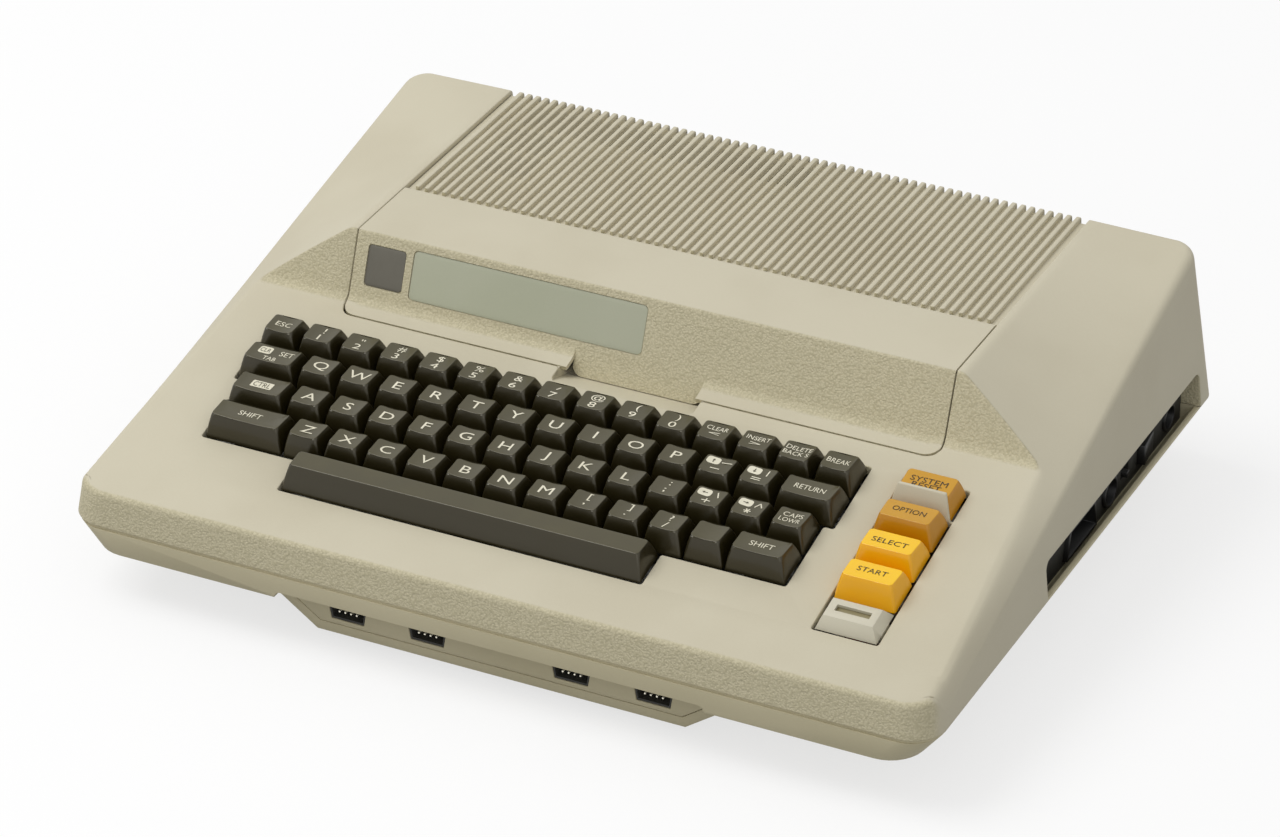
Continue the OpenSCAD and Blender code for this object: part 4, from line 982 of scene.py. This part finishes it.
def make_recess_wall(skin, side):
    """The right wall with the rounded hole of the port recess."""
    low = SEAM_Z + FOOT_R
    y0, y1, top = RECESS_FRONT_Y - FOOT_R, RECESS_REAR_Y + FOOT_R, RECESS_TOP_Z + FOOT_R
    hole = arc_path([(y0, low), (y0, top), (y1, top), (y1, low)], [4.5, 4.5])
    hole = [Vector((side_x(p.y), p.x, p.y)) for p in hole]
    first, last = (wall_down(*c)[1:WALL_LEVELS + 1] for c in (side[0], side[-1]))
    skin.fill([hole + last[::-1] + [c[2][-1] for c in side[::-1]] + first])
    out = Vector((math.cos(math.atan(SIDE_LEAN)), 0, math.sin(math.atan(SIDE_LEAN))))
    normals = [out] * len(hole)
    into = directions(hole, normals, (side_x(45), 50, 45), closed=False)
    end = skin.lip(hole, normals, into, FOOT_R, 2.0, closed=False)
    skin.strips([end, [Vector((PANEL_X - 2, p.y, p.z)) for p in end]])
    column = [Vector((0, 0, low))]
    for (kind, value, _), y in ((side[0], y0), (side[-1], y1)):
        skin.strips([wall_down(kind, value, column)[WALL_LEVELS:],
                     wall_down("side", y, column)[WALL_LEVELS:]])


# ---------------------------------------------------------------- parts of the top moulding
GUARD_H, GUARD_T, GUARD_LEAN = 10.6, 1.3, 0.46
SLOT_X, SLOT_Y = 8.4, 2.5


def make_guard():
    """The thin plate that leans over the reset key's front, and the window under the lens's slot."""
    width = CONSOLE_U * KEY
    reach = HOLE_MARGIN + 0.3

    def level(z, inset):
        y = -KEY + 0.1 + GUARD_LEAN * max(z, 0)
        return [on_deck(*c, z) for c in rect(CONSOLE_X + inset, CONSOLE_X + width - inset, y, y + GUARD_T)]

    plate = modified(tube_mesh([level(0, CAP_GAP), level(GUARD_H, SIDE_INSET + 0.3)], 0.0),
                     bevel(0.45, 3))
    foot = tube_mesh([level(-3, CAP_GAP), level(0.02, CAP_GAP)], 0.0)
    rail = block(rect(CONSOLE_X - reach, CONSOLE_X + width + reach, -KEY + 0.2, -KEY + 1.3),
                 -2.6, -0.8, on_deck)
    x, y = CONSOLE_X + width / 2, -4.5 * KEY
    window = block(rect(x - SLOT_X, x + SLOT_X, y - SLOT_Y, y + SLOT_Y), 2.4, 3.2, on_deck)
    return joined("guard", (plate, 0), (foot, 0), (rail, 0), (window, 1))


def make_pocket():
    """Ramp and side walls of the finger pocket."""
    y0 = (FOOT_Y - KEYS_BACK) / math.cos(DECK) - LIP_L - POCKET_REACH
    rim, run = -0.45, 15.5
    edge = rim - (POCKET_DEPTH + rim) * POCKET_REACH / run
    profile = arc_path([(y0 + 0.02, rim), (y0 + POCKET_REACH, edge), (y0 + run, -POCKET_DEPTH),
                        (y0 + run + 8, -POCKET_DEPTH)], [0, 3])
    skin = Skin()
    sides = [[on_deck(x - KEYS_LEFT, p.x, p.y) for p in profile] for x in (-POCKET_X, POCKET_X)]
    skin.strips(sides)
    for x, side in zip((-POCKET_X, POCKET_X), sides):
        skin.strips([side, [on_deck(x - KEYS_LEFT, p.x,
                                    rim if p.x < y0 + POCKET_REACH + 0.1 else p.y + 0.6)
                            for p in profile]])
    return modified(skin.mesh("pocket", up=on_deck(-KEYS_LEFT, y0 + 5, 8)), solidify(1.2))


# ---------------------------------------------------------------- door
DOOR_SHELL = 2.0
BROW_L = (CASE_H - FOOT_Z) / math.sin(BROW)
PLATE_DEPTH, PLATE_GAP = 0.8, 0.3
PLATE_Y = (BROW_L + COVE_R * 0.35) / 2
PLATES = [(-114.4, -0.4, 21.9, 2.2), (-136.8, -118.4, 18.4, 1.6)]


def on_brow(x, y, z=0.0):
    """Point of the brow's own frame, Y up the face from its foot and Z out of it."""
    return Vector((x, FOOT_Y + y * math.cos(BROW) - z * math.sin(BROW),
                   FOOT_Z + y * math.sin(BROW) + z * math.cos(BROW)))


def door_path():
    """The door's outer line from its lip up the brow and over the knuckle, in Y and Z."""
    lip = (LIP_Y, deck_z(LIP_Y))
    path = arc_path([lip, (FOOT_Y, FOOT_Z), (0, CASE_H), (HINGE_Y, CASE_H)], [COVE_R, BROW_EDGE_R], 8)
    for k in range(1, 9):
        a = math.radians(90 - 12 * k)
        path.append(Vector((HINGE_Y + KNUCKLE_R * math.cos(a), HINGE_Z + KNUCKLE_R * math.sin(a))))
    return path


def make_door():
    """The lift-up door: brow, flat top, lip on the deck and the bare tongue in the middle."""
    path = door_path()
    lip, cove, rest = path[0], path[1:10], path[10:]
    half = DOOR_W / 2

    def row(p, edge):
        return [Vector((lerp(TAB_X, edge, f), p.x, p.y)) for f in (0, 0.25, 0.5, 0.75, 0.94, 1)]

    steps = [lip.lerp(cove[0], f) for f in (0, 0.04, 0.14, 0.32, 0.6)] + cove
    rows, length = [], 0.0
    for before, p in zip([lip] + steps, steps):
        length += (p - before).length
        rows.append(row(p, half - corner_gap(length)))
    tops = [cove[-1].lerp(rest[0], f) for f in (0.02, 0.35, 0.7)] + rest
    tops = [rows[-1]] + [row(p, half) for p in tops]
    skin = Skin()
    for flip in (list, mirrored):
        skin.strips([flip(points) for points in rows])
        skin.strips([flip(points) for points in tops])
    skin.strips([[Vector((x, points[0].y, points[0].z)) for x in spread(-TAB_X, TAB_X, 6)]
                 for points in tops])
    high = (cove[-1] - Vector((FOOT_Y, FOOT_Z))).length
    outline = arc_path([(-TAB_X, high), (-TAB_X, -TAB_DROP), (TAB_X, -TAB_DROP), (TAB_X, high)],
                       [TAB_R, TAB_R])
    top = [(x, high) for x in spread(TAB_X, -TAB_X, 6)][1:-1]
    skin.fill([[on_brow(p[0], p[1]) for p in outline + top]])
    shell = modified(skin.mesh("door", up=(0, 20, 130)), solidify(DOOR_SHELL), bevel(0.45, 3, 40))
    for x0, x1, height, r in PLATES:
        loop = rounded(plate_rect(x0, x1, height, PLATE_GAP), r)
        shell = cut_out(shell, tube_mesh([[on_brow(p.x, p.y, z) for p in loop]
                                          for z in (-PLATE_DEPTH, 2)]))
    return shell


def plate_rect(x0, x1, height, grow=0.0):
    """Corners of a plate's place on the brow, grown all round."""
    return rect(x0 - grow, x1 + grow, PLATE_Y - height / 2 - grow, PLATE_Y + height / 2 + grow)


def make_plate(x0, x1, height, r):
    """A thin plate with rounded corners, set into the brow."""
    skin = Skin()
    rings = []
    for inset, z in ((0, -PLATE_DEPTH), (0, -0.42), (0.06, -0.36), (0.2, -0.32)):
        loop = rounded(plate_rect(x0, x1, height), r, inset)
        rings.append([on_brow(p.x, p.y, z) for p in loop])
    skin.strips(rings, closed=True)
    skin.fill([rings[-1]])
    skin.fill([rings[0]])
    return skin.mesh("plate", up=on_brow((x0 + x1) / 2, PLATE_Y, 10))


# ---------------------------------------------------------------- vent cover
def make_cover():
    """The vent cover: a slotted plate that folds down at the rear, and its ribs."""
    skin = Skin()
    z, back = CASE_H - GROOVE_DEPTH, rear_y(CASE_H) - GROOVE_DEPTH
    half = DOOR_W / 2
    slots = []
    first_x = (RIB_PITCH + RIB_W - SLOT_W - RIB_SPAN) / 2
    for row, count in enumerate((LONG_ROW, SHORT_ROW, SHORT_ROW)):
        y1 = rear_y(CASE_H) - SLOT_BACK - row * (SLOT_L + SLOT_GAP)
        for i in range(FIRST_SLOT, FIRST_SLOT + count):
            x = first_x + i * RIB_PITCH
            slots.append(rounded(rect(x, x + SLOT_W, y1 - SLOT_L, y1), SLOT_R, steps=3))
    t = COVER_T - GROOVE_DEPTH
    plate = rect(-half, half, COVER_FRONT, back - 1)
    for level in (0, -t):
        skin.fill([[Vector((p[0], p[1], z + level)) for p in loop] for loop in [plate, *slots]])
    for slot in slots:
        skin.strips([[Vector((p.x, p.y, z + level)) for p in slot] for level in (0, -t)], closed=True)
    low = CASE_H - COVER_DROP
    lean = REAR_LEAN * (z - low)
    fold = arc_path([(back - 1, z), (back, z), (back + lean, low)], [0.8], 4)
    inner = arc_path([(back - 1, z - t), (back - t, z - t), (back - t + lean, low)], [0.4], 4)
    section = fold + list(reversed(inner))
    for a, b in zip(section, section[1:]):
        if (a - b).length > 0.001:
            skin.strips([[Vector((x, p.x, p.y)) for x in spread(-half, half, 24)] for p in (a, b)])
    flat = [Vector(c) for c in rect(COVER_FRONT, back - 1, z - t, z)]
    for x in (-half, half):
        for outline in (section, flat):
            skin.face(skin.add([Vector((x, p.x, p.y)) for p in outline]))
    skin.strips([[Vector((x, COVER_FRONT, zz)) for x in (-half, half)] for zz in (z, z - t)])
    ribs = repeated(make_rib(), RIB_COUNT, (RIB_PITCH, 0, 0), CASE)
    lugs = []
    for s in (-1, 1):
        for y0, y1, z1 in ((5.5, 8.5, CASE_H - COVER_T + 0.5), (0.6, 6, 102)):
            corners = rect(s * 122 - 6, s * 122 + 6, COVER_FRONT + y0, COVER_FRONT + y1)
            lugs.append((modified(block(corners, 99.1, z1), bevel(0.4)), 0))
    return joined("vent_cover", (skin.mesh("cover", up=(143, 50, 130)), 0), (ribs, 0), *lugs)


def make_rib():
    """One rib: a bar with a rounded nose, rounded top edges and a rounded turn down at the rear."""
    low = CASE_H - COVER_DROP
    base = GROOVE_DEPTH + 0.25
    top_y = rear_y(CASE_H)
    outer = arc_path([(COVER_FRONT, CASE_H), (top_y, CASE_H), (rear_y(low), low)], [1.9], 6)
    half, soft = RIB_W / 2, 0.45
    middle = half - RIB_SPAN / 2
    nose = [(0.05, half * 0.35)]
    nose += [(half * (1 - math.sin(a)), half * math.cos(a)) for a in map(math.radians, (45, 22, 0))]
    stations = [(Vector((COVER_FRONT + y, CASE_H)), Vector((0, 1)), h) for y, h in nose]
    for k, p in enumerate(outer[1:], 1):
        along = (outer[min(k + 1, len(outer) - 1)] - outer[k - 1]).normalized()
        stations.append((p, Vector((-along.y, along.x)), half))
    rows = []
    for p, out, h in stations:
        s = min(soft, h * 0.6)
        section = [(-h, -base), (-h, -s), (-h + s * 0.3, -s * 0.3), (-h + s, 0), (h - s, 0),
                   (h - s * 0.3, -s * 0.3), (h, -s), (h, -base)]
        rows.append([Vector((middle + x, p.x + out.x * d, p.y + out.y * d)) for x, d in section])
    skin = Skin()
    skin.tube(rows)
    return skin.mesh("rib", up=(middle, 90, 130))


# ---------------------------------------------------------------- keys
class Cap:
    """The shape of one keycap in its cell: width in units, and the insets of its top."""

    def __init__(self, units, top=CAP_TOP, dish=DISH, front=FRONT_INSET, back=BACK_INSET,
                 drop=CAP_DROP, toe=0.0):
        self.width, self.top, self.dish = units * KEY, top, dish
        self.front, self.back, self.drop, self.toe = front, back, drop, toe

    def surface(self, x, y):
        """Height of the dished top, which falls towards the back."""
        f = (-y - self.back) / (KEY - self.front - self.back)
        chord = self.width / 2 - SIDE_INSET
        away = abs(x - self.width / 2)
        if self.width < 1.4 * KEY:
            hollow = 1 - (away / chord) ** 2
        else:
            hollow = 1 - max((away - chord) / lerp(3, 9, f) + 1, 0) ** 2
        return self.top - self.drop * (1 - f) - self.dish * max(hollow, 0)

    def ring(self, t, radius, inset=0.0, lift=0.0, dished=False, bow=0.0):
        """Outline of the cap at the fraction t of its height."""
        z0, z1 = (lerp(-CAP_SINK, top, t) for top in (self.top, self.top - self.drop))
        s0, s1 = (lerp(CAP_GAP, SIDE_INSET, (z + CAP_SINK) / (self.top + CAP_SINK)) + inset - bow
                  for z in (z0, z1))
        y0 = -KEY + lerp(CAP_GAP + self.toe, self.front, t) + inset - bow
        y1 = -lerp(CAP_GAP, self.back, t) - inset + bow
        corners = [(s0, y0), (self.width - s0, y0), (self.width - s1, y1), (s1, y1)]
        loop = rounded(corners, radius, 0.0, 4)
        dense, across = [], max(round(self.width / 2.4), 5)
        for k, p in enumerate(loop):
            dense.append(p)
            if k % 5 == 4:
                q = loop[(k + 1) % len(loop)]
                count = across if k in (9, 19) else 4
                count = count if abs(q.y - p.y) < abs(q.x - p.x) else 4
                dense += [p.lerp(q, i / count) for i in range(1, count)]
        points = []
        for p in dense:
            z = lerp(z0, z1, (p.y - y0) / (y1 - y0))
            points.append(Vector((p.x, p.y, (self.surface(p.x, p.y) if dished else z) + lift)))
        return points

    def mesh(self, left, row):
        """The cap with its hollow and stem, over a cell of the keyboard."""
        rings = [self.ring(t, lerp(1.1, 1.6, t), bow=0.3 * 4 * t * (1 - t))
                 for t in (0, 0.2, 0.4, 0.6, 0.8, 0.93)]
        rings += [self.ring(1, 1.7, -0.06, -0.42, True), self.ring(1, 1.6, 0.06, -0.14, True),
                  self.ring(1, 1.5, 0.24, -0.02, True), self.ring(1, 1.3, 0.5, 0, True)]
        top = rings[-1]
        middle_y = (min(p.y for p in top) + max(p.y for p in top)) / 2
        reach = (max(p.y for p in top) - min(p.y for p in top)) / 2
        for f in (0.3, 0.6, 0.85, 1):
            ring = []
            for p in top:
                x = min(max(p.x, SIDE_INSET + reach), self.width - SIDE_INSET - reach)
                x, y = lerp(p.x, x, f), lerp(p.y, middle_y, f)
                ring.append(Vector((x, y, self.surface(x, y))))
            rings.append(ring)
        inside = [self.ring(0, 1.0), self.ring(0, 0.6, 1.3), self.ring(0.4, 0.6, 1.3)]
        skin = Skin()
        origin = Vector((left * KEY, -row * KEY, 0))

        def there(points):
            return [on_deck(*(p + origin)) for p in points]

        skin.strips([there(ring) for ring in rings], closed=True)
        skin.strips([there(ring) for ring in [rings[0]] + inside[1:]], closed=True)
        skin.fill([there(inside[-1])])
        middle, half = self.width / 2, 2.3
        stem = rect(middle - half, middle + half, -KEY / 2 - half, -KEY / 2 + half)
        data = skin.mesh("cap", up=on_deck(*(Vector((middle, middle_y, 40)) + origin)))
        post = block(stem, -5.6, 4.0, lambda *p: on_deck(*(Vector(p) + origin)))
        return joined("cap", (data, 0), (post, 0))

    def mark(self, skin, left, row, shape, x, y, finish, lift=0.12):
        """Lays flat points and faces on the dished top, centred at a place in the cell."""
        points, faces = shape
        placed = []
        for p in points:
            px, py = p.x + x, p.y + y
            placed.append(on_deck(left * KEY + px, -row * KEY + py, self.surface(px, py) + lift))
        start = len(skin.points)
        skin.points += placed
        for face in faces:
            skin.face([start + i for i in face], finish)


def turned(points, turn):
    """Flat points turned round the middle."""
    spin = Matrix.Rotation(turn, 3, "Z")
    return [spin @ Vector((x, y, 0)) for x, y in points]


def bar_shape(length, turn=0.0, thick=0.55):
    """A straight stroke."""
    return turned(rect(-length / 2, length / 2, -thick / 2, thick / 2), turn), [[0, 1, 2, 3]]


def box_shape(width, height, radius=1.2):
    """A filled box with rounded corners, in narrow columns that can follow a dish."""
    flat = width / 2 - radius
    arc = [flat + radius * math.sin(math.radians(a)) for a in (15, 30, 45, 60, 75, 90)]
    xs = [-x for x in reversed(arc)] + spread(-flat, flat, math.ceil(2 * flat)) + arc
    points, faces = [], []
    for k, x in enumerate(xs):
        past = max(abs(x) - flat, 0)
        y = height / 2 - radius + math.sqrt(max(radius ** 2 - past ** 2, 0))
        points += [Vector((x, -y, 0)), Vector((x, y, 0))]
        if k:
            faces.append([2 * k - 2, 2 * k, 2 * k + 1, 2 * k - 1])
    return points, faces


def arrow_shape(turn):
    """A small arrow that points right, turned."""
    points = [(1.3, 0), (0.2, 0.75), (0.2, 0.22), (-1.3, 0.22), (-1.3, -0.22), (0.2, -0.22),
              (0.2, -0.75)]
    return turned(points, turn), [[0, 1, 2, 6], [2, 3, 4, 5]]


LETTER_Y, SYMBOL_Y, DIGIT_Y, UPPER_Y, LOWER_Y = -8.75, -6.2, -11.3, -6.9, -10.6
WORD_WIDTHS = {"CLEAR": 9.9, "INSERT": 10.8, "DELETE": 11.7, "BACK S": 11.5, "BREAK": 10.5,
               "RETURN": 14.0, "CAPS": 9.0, "LOWR": 9.4, "SHIFT": 11.0, "ESC": 7.4, "<": 5.0,
               ">": 5.0, "SYSTEM": 16.7, "RESET": 13.0, "OPTION": 14.9, "SELECT": 16.0, "START": 13.4}
CONSOLE_Y = {"SYSTEM": -6.5, "RESET": -10.1, "OPTION": -8.2, "SELECT": -9.2, "START": -8.2}
ARROW_TURNS = {"-": 0.5, "=": -0.5, "+": 1, "*": 0}
UPPER_STROKES = {"-": [(4.9, 0, 0, 0)], "=": [(4.0, 0.5, 0, 0)], "+": [(4.0, 0.62, 0, 0)],
                 "*": [(3.6, 0.34, -0.8, 0), (3.6, -0.34, 0.8, 0)]}
LOWER_STROKES = {"-": [(4.2, 0, 0, 0)], "=": [(4.2, 0, 0, 0.65), (4.2, 0, 0, -0.65)],
                 "+": [(4.0, 0, 0, 0), (3.0, 0.5, 0, 0)],
                 "*": [(3.2, 0, 0, 0), (3.2, 1 / 3, 0, 0), (3.2, -1 / 3, 0, 0)]}


def strokes(table, label, x, y):
    """Straight strokes round a place, each (length, turn, x, y)."""
    return [(bar_shape(length, turn * math.pi), x + dx, y + dy, 1)
            for length, turn, dx, dy in table[label]]


def legends(cap, label):
    """Flat shapes, places and finishes of a key's legend. Finish 1 is light and 2 dark."""
    x = cap.width / 2
    if label in ARROW_TURNS:
        return [(box_shape(6.0, 4.7, 1.5), 6.7, -6.15, 1),
                (arrow_shape(ARROW_TURNS[label] * math.pi), 6.7, -6.15, 2),
                *strokes(UPPER_STROKES, label, 12.9, -6.4),
                *strokes(LOWER_STROKES, label, 9.4, DIGIT_Y)]
    if label == "TAB":
        return [(box_shape(6.3, 5.0), 9.75, -6.9, 1), (flat_text("CLR", 2.8, 4.9), 9.75, -6.9, 2),
                (flat_text("SET", 3.3, 6.6), 20.3, -7.05, 1), (flat_text("TAB", 2.7, 6.2), x, -12.2, 1)]
    if label == "CTRL":
        return [(box_shape(10.2, 4.7, 0.5), 14.6, -9.0, 1), (flat_text("CTRL", 3.2, 8.2), 14.6, -9.0, 2)]
    if "/" in label and len(label) > 3:
        upper, lower = label.split("/")
        return [(flat_text(upper, 2.8, WORD_WIDTHS[upper]), x + 0.2, UPPER_Y, 1),
                (flat_text(lower, 2.7, WORD_WIDTHS[lower]), x, LOWER_Y, 1)]
    if len(label) == 1:
        return [(flat_text(label, 5.15), x, LETTER_Y, 1)]
    if len(label) == 2:
        quote = bar_shape(2.4, 0.3 * math.pi)
        symbol = quote if label[1] == "'" else flat_text(label[1], 3.7)
        return [(symbol, x + 0.3, SYMBOL_Y, 1),
                (flat_text(label[0], 3.8, stretch=DIGIT_STRETCH), x - 0.3, DIGIT_Y, 1)]
    return [(flat_text(label, 3.2, WORD_WIDTHS[label]), x, LETTER_Y, 1)]


KEYS = [
    ("esc_key", 0, 0, 1, ["ESC"]),
    ("number_keys_left", 0, 1, 1, ["1!", '2"', "3#", "4$", "5%", "6&"]),
    ("number_keys_right", 0, 7, 1, ["7'", "8@", "9(", "0)", "CLEAR/<", "INSERT/>", "DELETE/BACK S"]),
    ("break_key", 0, 14, 1, ["BREAK"]),
    ("tab_key", 1, 0, 1.5, ["TAB"]),
    ("upper_letter_keys_left", 1, 1.5, 1, list("QWERT")),
    ("upper_letter_keys_right", 1, 6.5, 1, list("YUIOP-=")),
    ("return_key", 1, 13.5, 1.5, ["RETURN"]),
    ("control_key", 2, 0.25, 1.5, ["CTRL"]),
    ("home_letter_keys_left", 2, 1.75, 1, list("ASDFG")),
    ("home_letter_keys_right", 2, 6.75, 1, [*"HJKL", ";:", "+", "*"]),
    ("caps_key", 2, 13.75, 1, ["CAPS/LOWR"]),
    ("left_shift_key", 3, 0.25, 2, ["SHIFT"]),
    ("lower_letter_keys", 3, 2.25, 1, [*"ZXCVBNM", ",[", ".]", "/?", ""]),
    ("right_shift_key", 3, 13.25, 1.5, ["SHIFT"]),
]


def make_keys():
    """All keycaps with their legends, one piece for each CAD node."""
    for node, row, left, units, labels in KEYS:
        cap = Cap(units)
        caps = repeated(cap.mesh(left, row), len(labels), (units * KEY, 0, 0), KEY_DARK)
        skin = Skin()
        for i, label in enumerate(labels):
            for shape, x, y, finish in legends(cap, label) if label else []:
                cap.mark(skin, left + i * units, row, shape, x, y, finish,
                         0.17 if finish == 2 else 0.1)
        place_key(node, caps, skin)
    bar = Cap(9, CAP_TOP - 0.5, 0, FRONT_INSET + 1.5, drop=1)
    place_key("space_bar", bar.mesh(2.75, 4), Skin())
    reset = Cap(CONSOLE_U, 8.1, 0, 5.6, 1.2, 0.4, 1.0)
    console = Cap(CONSOLE_U, dish=0)
    for row, (node, cap, words, finish, slot) in enumerate((
            ("reset_key", reset, "SYSTEM/RESET", KEY_AMBER, "amber_plastic"),
            ("option_key", console, "OPTION", KEY_AMBER, "amber_plastic"),
            ("select_key", console, "SELECT", KEY_YELLOW, "yellow_plastic"),
            ("start_key", console, "START", KEY_YELLOW, "yellow_plastic"))):
        left = CONSOLE_X / KEY
        skin = Skin()
        for line in words.split("/"):
            shape = flat_text(line, 3.1, WORD_WIDTHS[line])
            cap.mark(skin, left, row, shape, cap.width / 2, CONSOLE_Y[line], 2)
        place_key(node, cap.mesh(left, row), skin, slot, (finish, INK_LIGHT, INK_DARK))


def place_key(node, caps, skin, slot="key_plastic", finishes=(KEY_DARK, INK_LIGHT, KEY_DARK)):
    """Joins caps and legends, and puts them on the key's body."""
    parts = [(caps, 0)]
    if skin.faces:
        data = bpy.data.meshes.new("legend")
        data.from_pydata([p * MM for p in skin.points], [], skin.faces)
        data.polygons.foreach_set("material_index", skin.finishes)
        parts.append((data, None))
    place(node + "_caps", joined(node, *parts), finishes, node + "_body", slot, [node], 32)


# ---------------------------------------------------------------- CAD nodes that keep their form
SOFT_NODES = [
    ("bottom_case", CASE_BOTTOM, 0.5), ("case_rim", CASE_BOTTOM, 0.3),
    ("port_pod", CASE_BOTTOM, 0.3), ("jack_panel", CASE_BOTTOM, 0.25),
    ("controller_jacks", PANEL_DARK, 0.2), ("side_panel", PANEL_DARK, 0.3),
    ("serial_port", SOCKET, 0.35), ("monitor_jack", SOCKET, 0.3), ("channel_switch", SOCKET, 0.3),
    ("power_switch", SOCKET, 0.6), ("power_jack", SOCKET, 0.25), ("rf_cable_gland", RUBBER, 0.3),
    ("rubber_feet", RUBBER, 0.6), ("power_light_lens", LENS, 0.5), ("left_cover_latch", BLACK, 0.3),
    ("right_cover_latch", BLACK, 0.3), ("cartridge_bay", BAY, 0.4), ("case_screws", ZINC, 0.2),
]
PLAIN_FINISHES = {
    "case_plastic": CASE, "key_plastic": KEY_DARK, "black_plastic": BLACK, "pin_metal": PLATED,
    "steel": ZINC, "cast_metal": CAST, "board": BOARD, "blue_film": FILM, "red_plastic": RED,
    "led_plastic": LED, "rubber": RUBBER, "bay_plastic": BAY,
}


def raised_skirt(rim):
    """The rim with its lower edge raised over the controller ports, and the ledge above them."""
    top, front = RIM_Z + WALL, -CASE_D / 2 - 1
    loop = rounded(rect(-ARCH_X, ARCH_X, RIM_Z - 1, top), [0.1, 0.1, WALL, WALL])
    cutter = tube_mesh([[Vector((p.x, y, p.y)) for p in loop] for y in (front, POD_Y)])
    ledge = rect(-ARCH_X - WALL, ARCH_X + WALL, front + 2.6, POD_Y + WALL)
    return joined("rim", (cut_out(rim, cutter), 0), (block(ledge, top - 0.1, top + 2), 0))


def make_pin_tips():
    """The bright tips of the pins in the controller ports."""
    skin = Skin()
    turns = [2 * math.pi * k / 12 for k in range(12)]
    profile = ((PIN_R, 5.0), (PIN_R, 0.9), (PIN_R * 0.85, 0.65), (PIN_R * 0.45, 0.5))
    for port in PORTS:
        for count, z in ((5, PORT_Z + PIN_ROWS / 2), (4, PORT_Z - PIN_ROWS / 2)):
            for i in range(count):
                x = port + (i - (count - 1) / 2) * PIN_PITCH
                skin.tube([[Vector((x + r * math.cos(a), POD_Y + depth, z + r * math.sin(a)))
                            for a in turns] for r, depth in profile])
    return skin.mesh("pin_tips", up=(PORTS[0], POD_Y - 5, PORT_Z - PIN_ROWS / 2))


def dress_cad():
    """Rounds the edges of the CAD nodes that show, and paints those inside as they are."""
    slots = {part["node"]: part["material_slot"] for part in frame["record"]["subparts"]}
    for node, finish, width in SOFT_NODES:
        body = frame["nodes"][node].parent.name.split(":", 1)[1]
        form = softened(node, width)
        form = raised_skirt(form) if node == "case_rim" else form
        place(node + "_form", form, [finish], body, slots[node], [node])
    for node in sorted(set(slots) - REPLACED - {row[0] for row in SOFT_NODES}):
        data = frame["nodes"][node].data
        data.materials.clear()
        data.materials.append(PLAIN_FINISHES[slots[node]])


REPLACED = {"top_case", "cartridge_door", "name_plate", "badge_plate", "memory_cover", "space_bar",
            "reset_key", "option_key", "select_key", "start_key", *(row[0] for row in KEYS)}

make_camera()
make_floor()
scene = bpy.context.scene
scene.view_settings.view_transform = "Standard"
make_lamp("key_lamp", (-1.3, -0.6, 2.6), 1.8, 41)
make_lamp("fill_lamp", (1.6, -2.4, 1.4), 1.8, 7.5)

fittings = joined("fittings", (make_guard(), None), (make_pocket(), 0))
place("top_case_shell", make_top_case(), [CASE], "case", "case_plastic", ["top_case"])
place("reset_guard", fittings, [CASE_PLAIN, WINDOW], "case", "case_plastic")
place("door_shell", make_door(), [CASE], "door", "case_plastic", ["cartridge_door"])
place("name_plate_bare", make_plate(*PLATES[0]), [SAGE], "door", "sage_plastic", ["name_plate"])
place("badge_bare", make_plate(*PLATES[1]), [BADGE], "door", "badge_metal", ["badge_plate"])
place("vent_cover_form", make_cover(), [CASE], "vent_cover", "case_plastic", ["memory_cover"])
place("port_pin_tips", make_pin_tips(), [PIN_TIP], "case", "pin_metal")
make_keys()
dress_cad()
